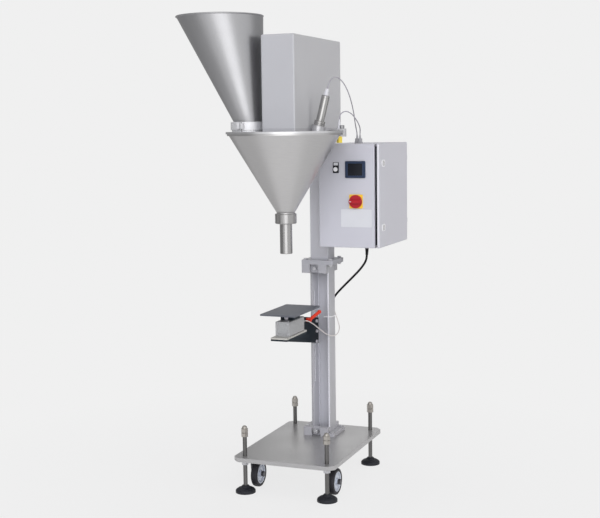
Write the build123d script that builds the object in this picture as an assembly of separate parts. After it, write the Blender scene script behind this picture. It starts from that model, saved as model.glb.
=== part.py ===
from build123d import *
import math
import os

# Auger powder filler on a post stand, millimetres, +Z up.
# Working frame: the post axis is X = Y = 0, the front is -Y and the floor is Z = 0.
# Every solid is moved at the end so that the origin is the bottom centre of the machine.

# Fits and clearances
run_fit = 0.05
seat_fit = 0.02
slide_gap = 0.3

# Base plate and levelling feet
plate_w = 510.0
plate_d = 745.0
plate_back = 170.0
plate_t = 20.0
plate_under = 158.0
plate_chamfer = 28.0
foot_x = 208.0
foot_inset_front = 47.0
foot_inset_back = 53.0
spindle_r = 10.0
foot_nut_af = 30.0
lock_nut_t = 22.0
pad_r = 48.0
pad_lip = 10.0
pad_h = 34.0
pad_neck_r = 16.0
spindle_top = 305.0
cap_nut_bottom = 290.0
cap_nut_t = 33.0
cap_groove = 3.0
cap_dome_r = 12.5
jam_nut_t = 18.0

# Transport wheels
wheel_r = 63.0
wheel_w = 36.0
wheel_x = 196.0
wheel_shift = 16.0
wheel_y = -435.0
wheel_axle_z = 68.0
rim_r = 47.0
axle_r = 8.0
caster_plate_t = 8.0
caster_leg_t = 8.0
caster_leg_gap = 3.0
caster_half = 38.0
caster_leg_half = 34.0
axle_proud = 3.5
axle_nut_t = 9.0

# Post, collars and head joint
post_side = 97.0
post_wall = 7.0
post_corner_r = 8.0
collar_side = 165.0
collar_h = 43.0
foot_flange_t = 18.0
pocket_depth = 24.0
joint_z = 1051.0
joint_plate_t = 22.0
joint_bolt_pitch = 132.0
joint_bolt_r = 6.0
clamp_screw_r = 8.0
clamp_screw_x = -17.0

# Drive head
upper_l = 663.0
head_z = joint_z + upper_l
head_plate_t = 14.0
box_w = 162.0
box_front = -553.0
box_d = 622.0
box_h = 423.0
box_wall = 2.5
box_edge_r = 6.0

# Product hopper, lid and dosing tube
auger_y = -479.0
cone_top_r = 256.0
lid_t = 10.0
flange_w = 9.0
lid_overhang = 6.0
flange_t = 8.0
cone_low_r = 42.0
cone_wall = 3.0
hopper_h = 374.0
neck_h = 27.0
cone_low_z = head_z - hopper_h
neck_low_z = cone_low_z - neck_h
tube_r = 28.7
tube_wall = 3.0
tube_drop = 191.0
tube_low_z = cone_low_z - tube_drop
tube_flange_t = 10.0
union_r = 50.0
union_h = 47.0
union_gap = 4.0
union_top_z = cone_low_z - union_gap
union_low_z = union_top_z - union_h
union_flats = 12
union_flat_cut = 2.2

# Dosing screw and agitator
shaft_r = 9.0
flight_gap = 0.5
flight_t = 4.0
flight_pitch = 42.0
flight_rise = 5.0
flight_bottom = tube_low_z + flight_rise
flight_h = 250.0
shaft_rise = 191.0
shaft_top = head_z + shaft_rise
sleeve_r = 16.0
sleeve_proud = 8.0
sleeve_drop = 74.0
sleeve_low = head_z - sleeve_drop
stirrer_gap = 9.0
stirrer_bar = 22.0
stirrer_t = 8.0
stirrer_lift = 60.0
stirrer_drop = 42.0
stirrer_low_z = cone_low_z + stirrer_lift
stirrer_top_z = head_z - stirrer_drop

# Belt drive
gear_case_r = 52.0
gear_case_h = 76.0
drive_pitch_y = 205.0
screw_pulley_r = 50.0
motor_pulley_r = 30.0
pulley_rise = 148.0
pulley_z = head_z + pulley_rise
pulley_h = 26.0
belt_w = 20.0
belt_t = 4.0
motor_side = 92.0
motor_h = 116.0
motor_shaft_r = 9.5
motor_shaft_engage = 45.0

# Infeed hopper
infeed_neck_x = -181.0
infeed_neck_r = 70.0
infeed_top_x = -318.0
infeed_top_r = 203.0
infeed_neck_h = 48.0
infeed_h = 488.0
infeed_cone_z = head_z + infeed_neck_h
infeed_top_z = infeed_cone_z + infeed_h
infeed_wall = 2.0
infeed_bead = 3.5
ring_r = 83.0
ring_h = 46.0
ring_lift = 8.0
ring_step = 6.0
ring_split = 4.0
ring_lug = 15.0

# Level probe and lid switch
probe_x = 120.0
probe_y = -365.0
probe_tilt = 14.4
probe_boss_r = 31.0
probe_boss_h = 26.0
probe_r = 26.0
probe_l = 138.0
probe_cap_r = 11.5
probe_cap_l = 34.0
switch_arm = 50.7
switch_reach = 22.0
switch_tab_w = 40.0
switch_tab_t = 4.0
switch_body = 26.0
switch_body_h = 24.0
switch_key_h = 34.0
switch_fitting_r = 7.0
switch_fitting_h = 30.0
clamp_angles = (14.0, 135.0)
clamp_w = 24.0
clamp_knob_r = 11.0
clamp_knob_h = 16.0

# Control cabinet
cab_d = 282.0
cab_w = 470.0
cab_front = -166.0
cab_rise = 99.0
cab_z = joint_z + cab_rise
cab_h = 500.0
cab_wall = 2.5
cab_lip = 16.0
seam = 12.5
door_t = 11.5
door_wall = 2.0
gasket_inset = 14.0
gasket_w = 12.0
hinge_offset = 9.0
hinge_r = 7.0
hinge_pin_r = 3.5
hinge_l = 44.0
hinge_rise = 90.0
lock_inset = 64.0
lock_rise = 95.0
lock_r = 11.0
lock_head_r = 14.0
lock_head_t = 2.5
tongue_l = 56.0
tongue_w = 16.0
tongue_t = 4.0
plate_gap = 14.0
back_plate_t = 3.0
back_plate_margin = 34.0

# Devices inside the cabinet
servo_depth = 165.0
servo_w = 85.0
servo_h = 210.0
servo_y = 60.0
servo_drop = 40.0
fin_pitch = 32.0
fin_h = 14.0
fin_w = 6.0
fin_depth = 25.0
supply_depth = 110.0
supply_w = 90.0
supply_h = 130.0
supply_y = 200.0
supply_rise = 20.0
rail_t = 8.0
rail_h = 35.0
rail_inset = 12.0
rail_drop = 150.0
terminal_depth = 47.0
terminal_w = 12.0
terminal_h = 65.0
terminal_pitch = 18.0
stud_inset = 14.0
stud_r = 5.0

# Operating elements on the cabinet front
hmi_x = 235.0
hmi_rise = 377.0
hmi_z = cab_z + hmi_rise
hmi_w = 102.0
hmi_h = 81.0
hmi_t = 7.0
screen_w = 72.0
screen_h = 58.0
screen_sink = 1.5
button_x = 136.0
button_rise = 378.0
button_z = cab_z + button_rise
legend_w = 30.0
legend_h = 52.0
legend_t = 2.0
button_r = 10.5
button_travel = 4.0
button_bezel_r = 14.5
button_bezel_h = 6.0
button_out = button_bezel_h + button_travel + 1.0
switch_x = 238.0
switch_rise = 224.0
switch_z = cab_z + switch_rise
yellow_w = 67.0
yellow_t = 5.0
knob_r = 32.0
knob_base = 12.0
knob_grip = 14.0
knob_grip_w = 18.0
knob_stem_r = 6.0

# Weighing table on the post
web_t = 10.0
table_drop = 299.0
shelf_z = joint_z - table_drop
shelf_t = 8.0
shelf_w = 82.0
shelf_front = -583.0
shelf_back = -335.0
web_rear_y = 16.0
web_rear_low = shelf_z - 115.0
web_rear_top = shelf_z + 16.0
web_high_y = -185.0
web_high_z = shelf_z + 51.0
jaw_front = -172.0
slot_y = -18.0
table_bolt_r = 5.0
table_bolts_z = (shelf_z - 100.0, shelf_z - 48.0, shelf_z + 4.0)
table_up = 150.0
table_down = 200.0
bolt_head_r = 8.0
bolt_head_t = 8.0
cell_plate_t = 8.0
cell_w = 70.0
cell_front = -540.0
cell_l = 186.0
cell_h = 68.0
carrier_w = 66.0
carrier_front = -486.0
carrier_l = 86.0
carrier_h = 38.0
pan_w = 176.0
pan_l = 326.0
pan_centre_y = -437.0
pan_t = 3.0
pan_rim = 7.0
pan_corner_r = 6.0
lever_y = -148.0
lever_z = shelf_z + 31.0
lever_hub_r = 11.0
lever_hub_l = 24.0
lever_stud_r = 5.0
lever_reach = (34.0, 48.0, 34.0)
lever_arm_r = 8.0

# Cable glands and cable radii
gland_hex_af = 24.0
gland_hex_t = 9.0
gland_dome_r = 10.5
gland_dome_t = 15.0
power_r = 5.5
signal_r = 2.5

# Derived places
flange_r = cone_top_r + flange_w
lid_r = flange_r + lid_overhang
switch_ring_r = lid_r + switch_reach
plate_top = plate_under + plate_t
plate_front = plate_back - plate_d
foot_y_front = plate_front + foot_inset_front
foot_y_back = plate_back - foot_inset_back
half_post = post_side / 2
post_inner = half_post - post_wall
collar_half = collar_side / 2
flange_top = head_z - lid_t
cone_top_z = flange_top - flange_t
box_low = head_z + head_plate_t
box_top = box_low + box_h
box_back = box_front + box_d
cab_x0 = half_post
cab_x1 = cab_x0 + cab_d
door_x0 = cab_x1 + seam
door_x1 = door_x0 + door_t
cab_back = cab_front + cab_w
cab_top = cab_z + cab_h
hinge_x = cab_x1 + seam / 2
hinge_y = cab_back + hinge_offset
lock_y = cab_front + lock_inset
web_x0 = -post_inner
web_x1 = web_x0 + web_t
jaw_x1 = -half_post
jaw_x0 = jaw_x1 - web_t
cell_plate_z = shelf_z + shelf_t
cell_z = cell_plate_z + cell_plate_t
carrier_z = cell_z + cell_h
pan_top = carrier_z + carrier_h + pan_t
motor_y = auger_y + drive_pitch_y
motor_top = box_low + motor_h
screw_bore = tube_r - tube_wall


# A box between two corners.
def block(x0, x1, y0, y1, z0, z1):
    centre = ((x0 + x1) / 2, (y0 + y1) / 2, (z0 + z1) / 2)
    return Pos(*centre) * Box(abs(x1 - x0), abs(y1 - y0), abs(z1 - z0))


# An upright cylinder standing on z0.
def post_rod(x, y, z0, z1, r):
    return Pos(x, y, (z0 + z1) / 2) * Cylinder(r, z1 - z0)


# A cylinder between two points.
def rod(a, b, r):
    start, end = Vector(*a), Vector(*b)
    along = end - start
    plane = Plane(origin=start, z_dir=along.normalized())
    return extrude(plane * Circle(r), along.length)


# A hexagonal bar between two points, sized across its flats.
def hex_bar(a, b, across):
    start, end = Vector(*a), Vector(*b)
    along = end - start
    plane = Plane(origin=start, z_dir=along.normalized())
    return extrude(plane * RegularPolygon(across / math.sqrt(3), 6), along.length)


# A profile of (radius, height) pairs turned about an upright axis.
def turned(points, x, y):
    face = make_face(Polyline(*[(r, 0, z) for r, z in points], close=True))
    return Pos(x, y, 0) * revolve(face, Axis.Z)


# An outline in the Y-Z plane given a thickness along X.
def side_plate(points, x0, x1):
    face = make_face(Polyline(*[(x0, y, z) for y, z in points], close=True))
    return extrude(face, x1 - x0, dir=(1, 0, 0))


# Several loose solids that make one node.
def together(*solids):
    return Compound([s for part in solids for s in part.solids()])


def foot_places():
    return {
        "front_left": (-foot_x, foot_y_front),
        "front_right": (foot_x, foot_y_front),
        "rear_left": (-foot_x, foot_y_back),
        "rear_right": (foot_x, foot_y_back),
    }


def base_plate():
    plate = block(-plate_w / 2, plate_w / 2, plate_front, plate_back, plate_under, plate_top)
    plate = chamfer(plate.edges().filter_by(Axis.Z), plate_chamfer)
    for x, y in foot_places().values():
        plate -= post_rod(x, y, plate_under, plate_top, spindle_r + slide_gap)
    return plate


# Levelling foot: flared pad, threaded spindle, jam nut and domed cap nut.
def levelling_foot(x, y):
    pad = turned(
        [(0, 0), (pad_r, 0), (pad_r, pad_lip), (0.93 * pad_r, 1.5 * pad_lip), (0.75 * pad_r, 2.1 * pad_lip),
         (0.48 * pad_r, 2.6 * pad_lip), (pad_neck_r, pad_h), (0, pad_h)], x, y)
    jam_low = cap_nut_bottom - jam_nut_t
    spindle = post_rod(x, y, pad_h, spindle_top, spindle_r)
    jam = hex_bar((x, y, jam_low), (x, y, cap_nut_bottom), foot_nut_af)
    cap_low = cap_nut_bottom + cap_groove
    cap_top = cap_low + cap_nut_t
    dome_low = cap_top - 1.2 * cap_dome_r
    cap = hex_bar((x, y, cap_low), (x, y, dome_low), foot_nut_af)
    dome = Pos(x, y, cap_top - cap_dome_r) * Sphere(cap_dome_r)
    dome &= post_rod(x, y, dome_low, cap_top, cap_dome_r)
    return pad + spindle + jam + cap + dome


def wheel_left_face(side):
    return side * wheel_x + wheel_shift - wheel_w / 2


# Wheel bracket: a top plate under the base, one leg on the left of the wheel and a stub axle.
def caster_bracket(side):
    x = wheel_left_face(side)
    leg_x0 = x - caster_leg_gap - caster_leg_t
    top = block(leg_x0, x + wheel_w + caster_leg_gap, wheel_y - caster_half, wheel_y + caster_half,
                plate_under - caster_plate_t, plate_under)
    leg_low = wheel_axle_z - 2.2 * axle_r
    leg = side_plate(
        [(wheel_y - caster_leg_half, plate_under - caster_plate_t),
         (wheel_y + caster_leg_half, plate_under - caster_plate_t),
         (wheel_y + 2 * axle_r, leg_low), (wheel_y - 2 * axle_r, leg_low)], leg_x0, leg_x0 + caster_leg_t)
    end = x + wheel_w + axle_proud
    axle = rod((leg_x0, wheel_y, wheel_axle_z), (end, wheel_y, wheel_axle_z), axle_r)
    collar = rod((leg_x0 + caster_leg_t, wheel_y, wheel_axle_z),
                 (x - slide_gap, wheel_y, wheel_axle_z), 1.6 * axle_r)
    nut = hex_bar((end - axle_proud + slide_gap, wheel_y, wheel_axle_z),
                  (end + axle_nut_t, wheel_y, wheel_axle_z), 3 * axle_r)
    return top + leg + axle + collar + nut


# Dished wheel centre with a hub, turned about its axle.
def wheel_rim(side):
    x = wheel_left_face(side)
    bore = axle_r + run_fit
    hub = 2.1 * axle_r
    half = wheel_w / 2
    profile = [(bore, 0), (hub, 0), (hub, 6), (rim_r - 8, 9), (rim_r - 5, 3), (rim_r, 3),
               (rim_r, wheel_w - 3), (rim_r - 5, wheel_w - 3), (rim_r - 8, wheel_w - 9),
               (hub, wheel_w - 6), (hub, wheel_w), (bore, wheel_w)]
    face = make_face(Polyline(*[(r, 0, z) for r, z in profile], close=True))
    turn = revolve(face, Axis.Z)
    return Pos(x + half, wheel_y, wheel_axle_z) * Rot(0, 90, 0) * Pos(0, 0, -half) * turn


def wheel_tyre(side):
    x = wheel_left_face(side)
    half = wheel_w / 2
    profile = [(rim_r + seat_fit, 3), (wheel_r - 7, 1), (wheel_r - 2, 4), (wheel_r, 9),
               (wheel_r, wheel_w - 9), (wheel_r - 2, wheel_w - 4), (wheel_r - 7, wheel_w - 1),
               (rim_r + seat_fit, wheel_w - 3)]
    face = make_face(Polyline(*[(r, 0, z) for r, z in profile], close=True))
    turn = revolve(face, Axis.Z)
    return Pos(x + half, wheel_y, wheel_axle_z) * Rot(0, 90, 0) * Pos(0, 0, -half) * turn


# Clamp block on the front, left and back of the post, flush with its right wall.
# Its sloped pocket takes the clamp screw.
def post_collar(z0, z1):
    body = block(-collar_half, half_post, -collar_half, collar_half, z0, z1)
    body = chamfer(body.edges().filter_by(Axis.Z).group_by(Axis.X)[0], 4)
    return body - block(-half_post, half_post, -half_post, half_post, z0, z1)


def screw_pocket(z0, z1):
    face = make_face(Polyline(
        (-39, -collar_half, z0), (10, -collar_half, z0), (3, -collar_half, z1),
        (-39, -collar_half, z1), close=True))
    return extrude(face, pocket_depth, dir=(0, 1, 0))


# Foot of the post: a bolted flange with the clamp block on top.
def foot_collar():
    mid = plate_top + foot_flange_t
    high = plate_top + collar_h
    flange = block(-collar_half, collar_half, -collar_half, collar_half, plate_top, mid)
    flange = chamfer(flange.edges().filter_by(Axis.Z), 4)
    flange -= block(-half_post, half_post, -half_post, half_post, plate_top, mid)
    return flange + post_collar(mid, high) - screw_pocket(plate_top, high)


def top_collar():
    low = joint_z - collar_h
    return post_collar(low, joint_z) - screw_pocket(low, joint_z)


# Channel post, open to the front, with a long slot in its left wall for the table clamp.
def lower_post():
    outer = block(-half_post, half_post, -half_post, half_post, plate_top, joint_z)
    outer = fillet(outer.edges().filter_by(Axis.Z).group_by(Axis.Y)[-1], post_corner_r)
    inner = block(-post_inner, post_inner, -half_post, post_inner, plate_top, joint_z)
    slot_half = table_bolt_r + 2 * slide_gap
    low = min(table_bolts_z) - table_down - slot_half
    high = max(table_bolts_z) + table_up + slot_half
    slot = block(-half_post, -post_inner, slot_y - slot_half, slot_y + slot_half, low, high)
    return outer - inner - slot


# Square tube welded to its foot plate.
def upper_post():
    low = joint_z + joint_plate_t
    tube = block(-half_post, half_post, -half_post, half_post, low, head_z)
    tube = fillet(tube.edges().filter_by(Axis.Z), post_corner_r)
    tube -= block(-post_inner, post_inner, -post_inner, post_inner, low, head_z)
    plate = block(-collar_half, collar_half, -collar_half, collar_half, joint_z, low)
    plate = chamfer(plate.edges().filter_by(Axis.Z), 4)
    half = joint_bolt_pitch / 2
    for sx in (-1, 1):
        for sy in (-1, 1):
            plate -= post_rod(sx * half, sy * half, joint_z, low, joint_bolt_r + slide_gap)
    return plate + tube


# Bolts of the post joint and foot, clamp screws in the collars, and lock nuts under the base.
def stand_fasteners():
    parts = []
    half = joint_bolt_pitch / 2
    plate_high = joint_z + joint_plate_t
    for sx in (-1, 1):
        for sy in (-1, 1):
            x, y = sx * half, sy * half
            bolt = hex_bar((x, y, plate_high), (x, y, plate_high + 8), 3 * joint_bolt_r)
            bolt += post_rod(x, y, joint_z, plate_high + 1, joint_bolt_r)
            foot_high = plate_top + collar_h
            if sx > 0:
                bolt += hex_bar((x, y, joint_z - 8), (x, y, joint_z), 3 * joint_bolt_r)
                bolt += post_rod(x, y, joint_z - 11, joint_z + 1, joint_bolt_r)
                foot_high = plate_top + foot_flange_t
            parts.append(bolt)
            parts.append(hex_bar((x, y, foot_high), (x, y, foot_high + 8), 3 * joint_bolt_r))
    for z0 in (plate_top, joint_z - collar_h):
        seat = -collar_half + pocket_depth
        z = z0 + collar_h / 2
        parts.append(rod((clamp_screw_x, seat, z), (clamp_screw_x, seat - 15, z), clamp_screw_r))
    for x, y in foot_places().values():
        low = plate_under - lock_nut_t
        nut = hex_bar((x, y, low), (x, y, plate_under), foot_nut_af)
        parts.append(nut - post_rod(x, y, low, plate_under, spindle_r + slide_gap))
    return together(*parts)


def head_plate():
    plate = block(-box_w / 2, box_w / 2, box_front, box_back, head_z, box_low)
    plate = fillet(plate.edges().filter_by(Axis.Z), box_edge_r)
    return plate - post_rod(0, auger_y, head_z, box_low, sleeve_r + 3)


# Folded sheet cover over the drive, open below.
def drive_box():
    outer = block(-box_w / 2, box_w / 2, box_front, box_back, box_low, box_top)
    edges = outer.edges().filter_by(Axis.Z) + outer.edges().group_by(Axis.Z)[-1]
    outer = fillet(edges, box_edge_r)
    w = box_wall
    inner = block(-box_w / 2 + w, box_w / 2 - w, box_front + w, box_back - w, box_low, box_top - w)
    inner = fillet(inner.edges().filter_by(Axis.Z), box_edge_r - w)
    return outer - inner


# Direction of the leaning level probe.
def probe_axis():
    a = math.radians(probe_tilt)
    return (math.sin(a), 0.0, math.cos(a))


def along_probe(s):
    ux, uy, uz = probe_axis()
    return (probe_x + s * ux, probe_y + s * uy, head_z + s * uz)


# Round lid with the infeed opening, the shaft hole and the leaning probe boss.
def hopper_lid():
    lid = post_rod(0, auger_y, flange_top, head_z, lid_r)
    lid = chamfer(lid.edges().group_by(Axis.Z)[-1], 1.5)
    lid -= post_rod(infeed_neck_x, auger_y, flange_top, head_z, infeed_neck_r + slide_gap)
    lid -= post_rod(0, auger_y, flange_top, head_z, sleeve_r + 3)
    boss = rod(along_probe(-lid_t), along_probe(probe_boss_h), probe_boss_r)
    lid += boss & block(-lid_r, lid_r, auger_y - lid_r, auger_y + lid_r, flange_top, box_top)
    return lid


# Slope of the cone in radius per height.
def cone_radius(z):
    return cone_low_r + (z - cone_low_z) * (cone_top_r - cone_low_r) / (cone_top_z - cone_low_z)


def hopper_cone():
    slant = cone_wall * math.hypot(cone_top_r - cone_low_r, cone_top_z - cone_low_z)
    inset = slant / (cone_top_z - cone_low_z)
    top_in = cone_radius(flange_top) - inset
    low_in = cone_low_r - cone_wall
    bend = cone_low_z + (low_in + inset - cone_low_r) * (cone_top_z - cone_low_z) / (cone_top_r - cone_low_r)
    return turned(
        [(top_in, flange_top), (flange_r, flange_top), (flange_r, cone_top_z), (cone_top_r, cone_top_z),
         (cone_low_r, cone_low_z), (cone_low_r, neck_low_z), (low_in, neck_low_z), (low_in, bend)],
        0, auger_y)


# Union nut with grip flats that holds the dosing tube to the neck.
def coupling_collar():
    flange_low = neck_low_z - tube_flange_t
    ring = turned(
        [(tube_r + slide_gap, union_low_z), (union_r - 3, union_low_z), (union_r, union_low_z + 3),
         (union_r, union_top_z - 3), (union_r - 3, union_top_z), (cone_low_r + slide_gap, union_top_z),
         (cone_low_r + slide_gap, flange_low), (tube_r + slide_gap, flange_low)], 0, auger_y)
    for k in range(union_flats):
        flat = Pos(union_r - union_flat_cut + 10, 0, 0) * Box(20, 9, union_top_z - union_low_z - 12)
        mid = (union_low_z + union_top_z) / 2
        ring -= Pos(0, auger_y, mid) * Rot(0, 0, k * 360 / union_flats + 9) * flat
    return ring


def auger_tube():
    flange_low = neck_low_z - tube_flange_t
    return turned(
        [(screw_bore, tube_low_z), (tube_r - 0.8, tube_low_z), (tube_r, tube_low_z + 2), (tube_r, flange_low),
         (cone_low_r - 1, flange_low), (cone_low_r - 1, neck_low_z), (screw_bore, neck_low_z)], 0, auger_y)


# Dosing screw: a helical flight round a plain shaft with a pointed end.
def auger_screw():
    flight_r = screw_bore - flight_gap
    root_r = shaft_r - 1
    path = Helix(pitch=flight_pitch, height=flight_h, radius=(flight_r + root_r) / 2)
    section = Plane(origin=path @ 0, x_dir=(1, 0, 0), z_dir=path % 0) * Rectangle(flight_r - root_r, flight_t)
    flight = Pos(0, auger_y, flight_bottom + flight_t) * sweep(section, path, is_frenet=True)
    core = turned(
        [(0, flight_bottom - 4), (shaft_r, flight_bottom + 4), (shaft_r, shaft_top - 1.5),
         (shaft_r - 1.5, shaft_top), (0, shaft_top)], 0, auger_y)
    return core + flight


def screw_pulley():
    low = pulley_z - pulley_h / 2
    high = pulley_z + pulley_h / 2
    bore = shaft_r + seat_fit
    return turned(
        [(bore, low - 12), (bore + 9, low - 12), (bore + 9, low), (screw_pulley_r, low),
         (screw_pulley_r, high), (bore, high)], 0, auger_y)


# Hollow agitator shaft with two scraper frames that follow the cone wall.
def agitator():
    bore = shaft_r + run_fit
    sleeve_top = box_low + gear_case_h + sleeve_proud
    sleeve = post_rod(0, auger_y, sleeve_low, sleeve_top, sleeve_r)
    inset = cone_wall * 1.2 + stirrer_gap
    top_out = cone_radius(stirrer_top_z) - inset
    low_out = cone_radius(stirrer_low_z) - inset
    frame = sleeve
    for side in (-1, 1):
        outline = [(0, stirrer_top_z), (side * top_out, stirrer_top_z), (side * low_out, stirrer_low_z),
                   (side * (low_out - stirrer_bar), stirrer_low_z),
                   (side * (top_out - 2 * stirrer_bar), stirrer_top_z - stirrer_bar), (0, stirrer_top_z - stirrer_bar)]
        face = make_face(Polyline(*[(x, auger_y - stirrer_t / 2, z) for x, z in outline], close=True))
        frame += extrude(face, stirrer_t, dir=(0, 1, 0))
    return frame - post_rod(0, auger_y, sleeve_low - 1, sleeve_top + 1, bore)


# Closed gear and bearing case that carries both shafts.
def gear_case():
    high = box_low + gear_case_h
    case = turned(
        [(sleeve_r + run_fit, box_low), (gear_case_r + 12, box_low), (gear_case_r + 12, box_low + 10),
         (gear_case_r, box_low + 10), (gear_case_r, high - 4), (gear_case_r - 4, high), (sleeve_r + run_fit, high)],
        0, auger_y)
    return case


def servo_motor():
    half = motor_side / 2
    body = block(-half, half, motor_y - half, motor_y + half, box_low, motor_top)
    body = chamfer(body.edges().filter_by(Axis.Z), 10)
    bore_low = motor_top - motor_shaft_engage - slide_gap
    return body - post_rod(0, motor_y, bore_low, motor_top, motor_shaft_r + run_fit)


def motor_pulley():
    low = pulley_z - pulley_h / 2
    shaft = post_rod(0, motor_y, motor_top - motor_shaft_engage, pulley_z + pulley_h / 2 + 4, motor_shaft_r)
    return shaft + post_rod(0, motor_y, low, low + pulley_h, motor_pulley_r)


# Flat loop round two circles, a given distance outside them.
def belt_loop(extra):
    big = screw_pulley_r + extra
    small = motor_pulley_r + extra
    tilt = math.asin((big - small) / drive_pitch_y)
    c, s = math.cos(tilt), math.sin(tilt)
    a0, a1 = (big * c, auger_y + big * s), (-big * c, auger_y + big * s)
    b0, b1 = (small * c, motor_y + small * s), (-small * c, motor_y + small * s)
    outline = Wire([
        Line(a0, b0).edge(),
        ThreePointArc(b0, (0, motor_y + small), b1).edge(),
        Line(b1, a1).edge(),
        ThreePointArc(a1, (0, auger_y - big), a0).edge(),
    ])
    return Pos(0, 0, pulley_z - belt_w / 2) * extrude(make_face(outline), belt_w, dir=(0, 0, 1))


def drive_belt():
    return belt_loop(slide_gap + belt_t) - belt_loop(slide_gap)


# Oblique funnel whose side beside the drive box stands upright.
def infeed_hopper():
    def cone(shrink, low, high):
        a = Plane.XY.offset(low) * Pos(infeed_neck_x, auger_y) * Circle(infeed_neck_r - shrink)
        b = Plane.XY.offset(high) * Pos(infeed_top_x, auger_y) * Circle(infeed_top_r - shrink)
        return loft([a, b])
    shell = cone(0, infeed_cone_z, infeed_top_z)
    neck = post_rod(infeed_neck_x, auger_y, flange_top, infeed_cone_z, infeed_neck_r)
    bead = Pos(infeed_top_x, auger_y, infeed_top_z - infeed_bead) * Torus(infeed_top_r - infeed_wall / 2, infeed_bead)
    shell = shell + neck + bead
    shell -= cone(infeed_wall, infeed_cone_z, infeed_top_z)
    shell -= post_rod(infeed_neck_x, auger_y, flange_top, infeed_cone_z, infeed_neck_r - infeed_wall)
    return shell


# Two-piece clamp ring round the infeed neck, with screw lugs at the splits.
def infeed_collar():
    high = head_z + ring_h
    half_split = ring_split / 2
    low = head_z + ring_lift
    ring = post_rod(infeed_neck_x, auger_y, low, high, ring_r)
    ring = chamfer(ring.edges().group_by(Axis.Z)[-1], 2)
    ring += post_rod(infeed_neck_x, auger_y, head_z, low + 1, ring_r - ring_step)
    for sy in (-1, 1):
        y0 = auger_y + sy * (ring_r - 6)
        y1 = auger_y + sy * (ring_r + ring_lug)
        ring += block(infeed_neck_x - 16, infeed_neck_x + 16, min(y0, y1), max(y0, y1), low + 6, high - 6)
    ring -= post_rod(infeed_neck_x, auger_y, head_z, high, infeed_neck_r + slide_gap)
    ring -= block(infeed_neck_x - half_split, infeed_neck_x + half_split, auger_y - 2 * ring_r,
                  auger_y + 2 * ring_r, head_z, high)
    return together(ring)


# Leaning stainless level probe with a stepped top and cable exit.
def level_probe():
    s0 = probe_boss_h
    s1 = s0 + probe_l
    body = rod(along_probe(s0), along_probe(s1), probe_r)
    body = chamfer(body.edges().filter_by(GeomType.CIRCLE).sort_by(Axis.Z)[-1], 7)
    band = rod(along_probe(s0), along_probe(s0 + 14), probe_r + 3)
    exit_cap = rod(along_probe(s1), along_probe(s1 + probe_cap_l), probe_cap_r)
    return body + band + exit_cap


# Places something on the lid's rim at an angle, with local X pointing outwards.
def at_rim(shape, angle):
    return Pos(0, auger_y, 0) * Rot(0, 0, angle) * shape


# Screw clamps that hold the hopper flange to the lid, and the tab that carries the lid switch.
def lid_clamps():
    parts = []
    half = clamp_w / 2
    wall_in = lid_r + slide_gap
    wall_out = wall_in + 12
    for angle in clamp_angles:
        jaw = block(lid_r - 20, wall_out, -half, half, head_z, head_z + 9)
        jaw += block(wall_in, wall_out, -half, half, cone_top_z - 9, head_z + 9)
        jaw += block(flange_r - 7, wall_out, -half, half, cone_top_z - 9, cone_top_z)
        knob = post_rod(lid_r - 6, 0, head_z + 9, head_z + 9 + clamp_knob_h, clamp_knob_r)
        jaw += chamfer(knob.edges().group_by(Axis.Z)[-1], 2)
        parts.append(at_rim(jaw, angle))
    tab = block(lid_r - 24, switch_ring_r + switch_body / 2, -switch_tab_w / 2, switch_tab_w / 2,
                head_z, head_z + switch_tab_t)
    parts.append(at_rim(tab, switch_arm))
    return together(*parts)


# Safety switch below the tab, with its cable fitting on top.
def lid_switch():
    r, half = switch_ring_r, switch_body / 2
    low = head_z - switch_body_h
    body = block(r - half, r + half, -half, half, low, head_z)
    return at_rim(fillet(body.edges().filter_by(Axis.Z), 3), switch_arm)


def lid_switch_fitting():
    base = head_z + switch_tab_t
    fitting = post_rod(switch_ring_r, 0, base, base + switch_fitting_h, switch_fitting_r)
    fitting += hex_bar((switch_ring_r, 0, base), (switch_ring_r, 0, base + 8), 2.6 * switch_fitting_r)
    return at_rim(fitting, switch_arm)


def lid_switch_key():
    r, half = switch_ring_r, switch_body / 2 - 2
    high = head_z - switch_body_h
    key = block(r - half, r + half, -half, half, high - switch_key_h, high)
    key = fillet(key.edges().filter_by(Axis.Z), 4)
    return at_rim(key, switch_arm)


def hinge_heights():
    return (cab_z + hinge_rise, cab_top - hinge_rise)


# Sheet enclosure open to the right, with a return lip and the fixed hinge halves.
def cabinet_body():
    w = cab_wall
    shell = block(cab_x0, cab_x1, cab_front, cab_back, cab_z, cab_top)
    shell = fillet(shell.edges().filter_by(Axis.X), 4)
    shell -= block(cab_x0 + w, cab_x1 - w, cab_front + w, cab_back - w, cab_z + w, cab_top - w)
    lip = cab_lip
    shell -= block(cab_x1 - w, cab_x1, cab_front + lip, cab_back - lip, cab_z + lip, cab_top - lip)
    shell -= rod((switch_x, cab_front, switch_z), (switch_x, cab_front + w, switch_z), knob_stem_r + run_fit)
    shell -= rod((button_x, cab_front, button_z), (button_x, cab_front + w, button_z), button_r + run_fit)
    for z in hinge_heights():
        pin = post_rod(hinge_x, hinge_y, z - hinge_l / 2, z + hinge_l / 2, hinge_pin_r)
        knuckle = post_rod(hinge_x, hinge_y, z - hinge_l / 2, z - slide_gap, hinge_r)
        leaf = block(hinge_x - 26, hinge_x - 3, cab_back, hinge_y, z - hinge_l / 2, z - slide_gap)
        shell += leaf + knuckle + pin
    return shell


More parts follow.
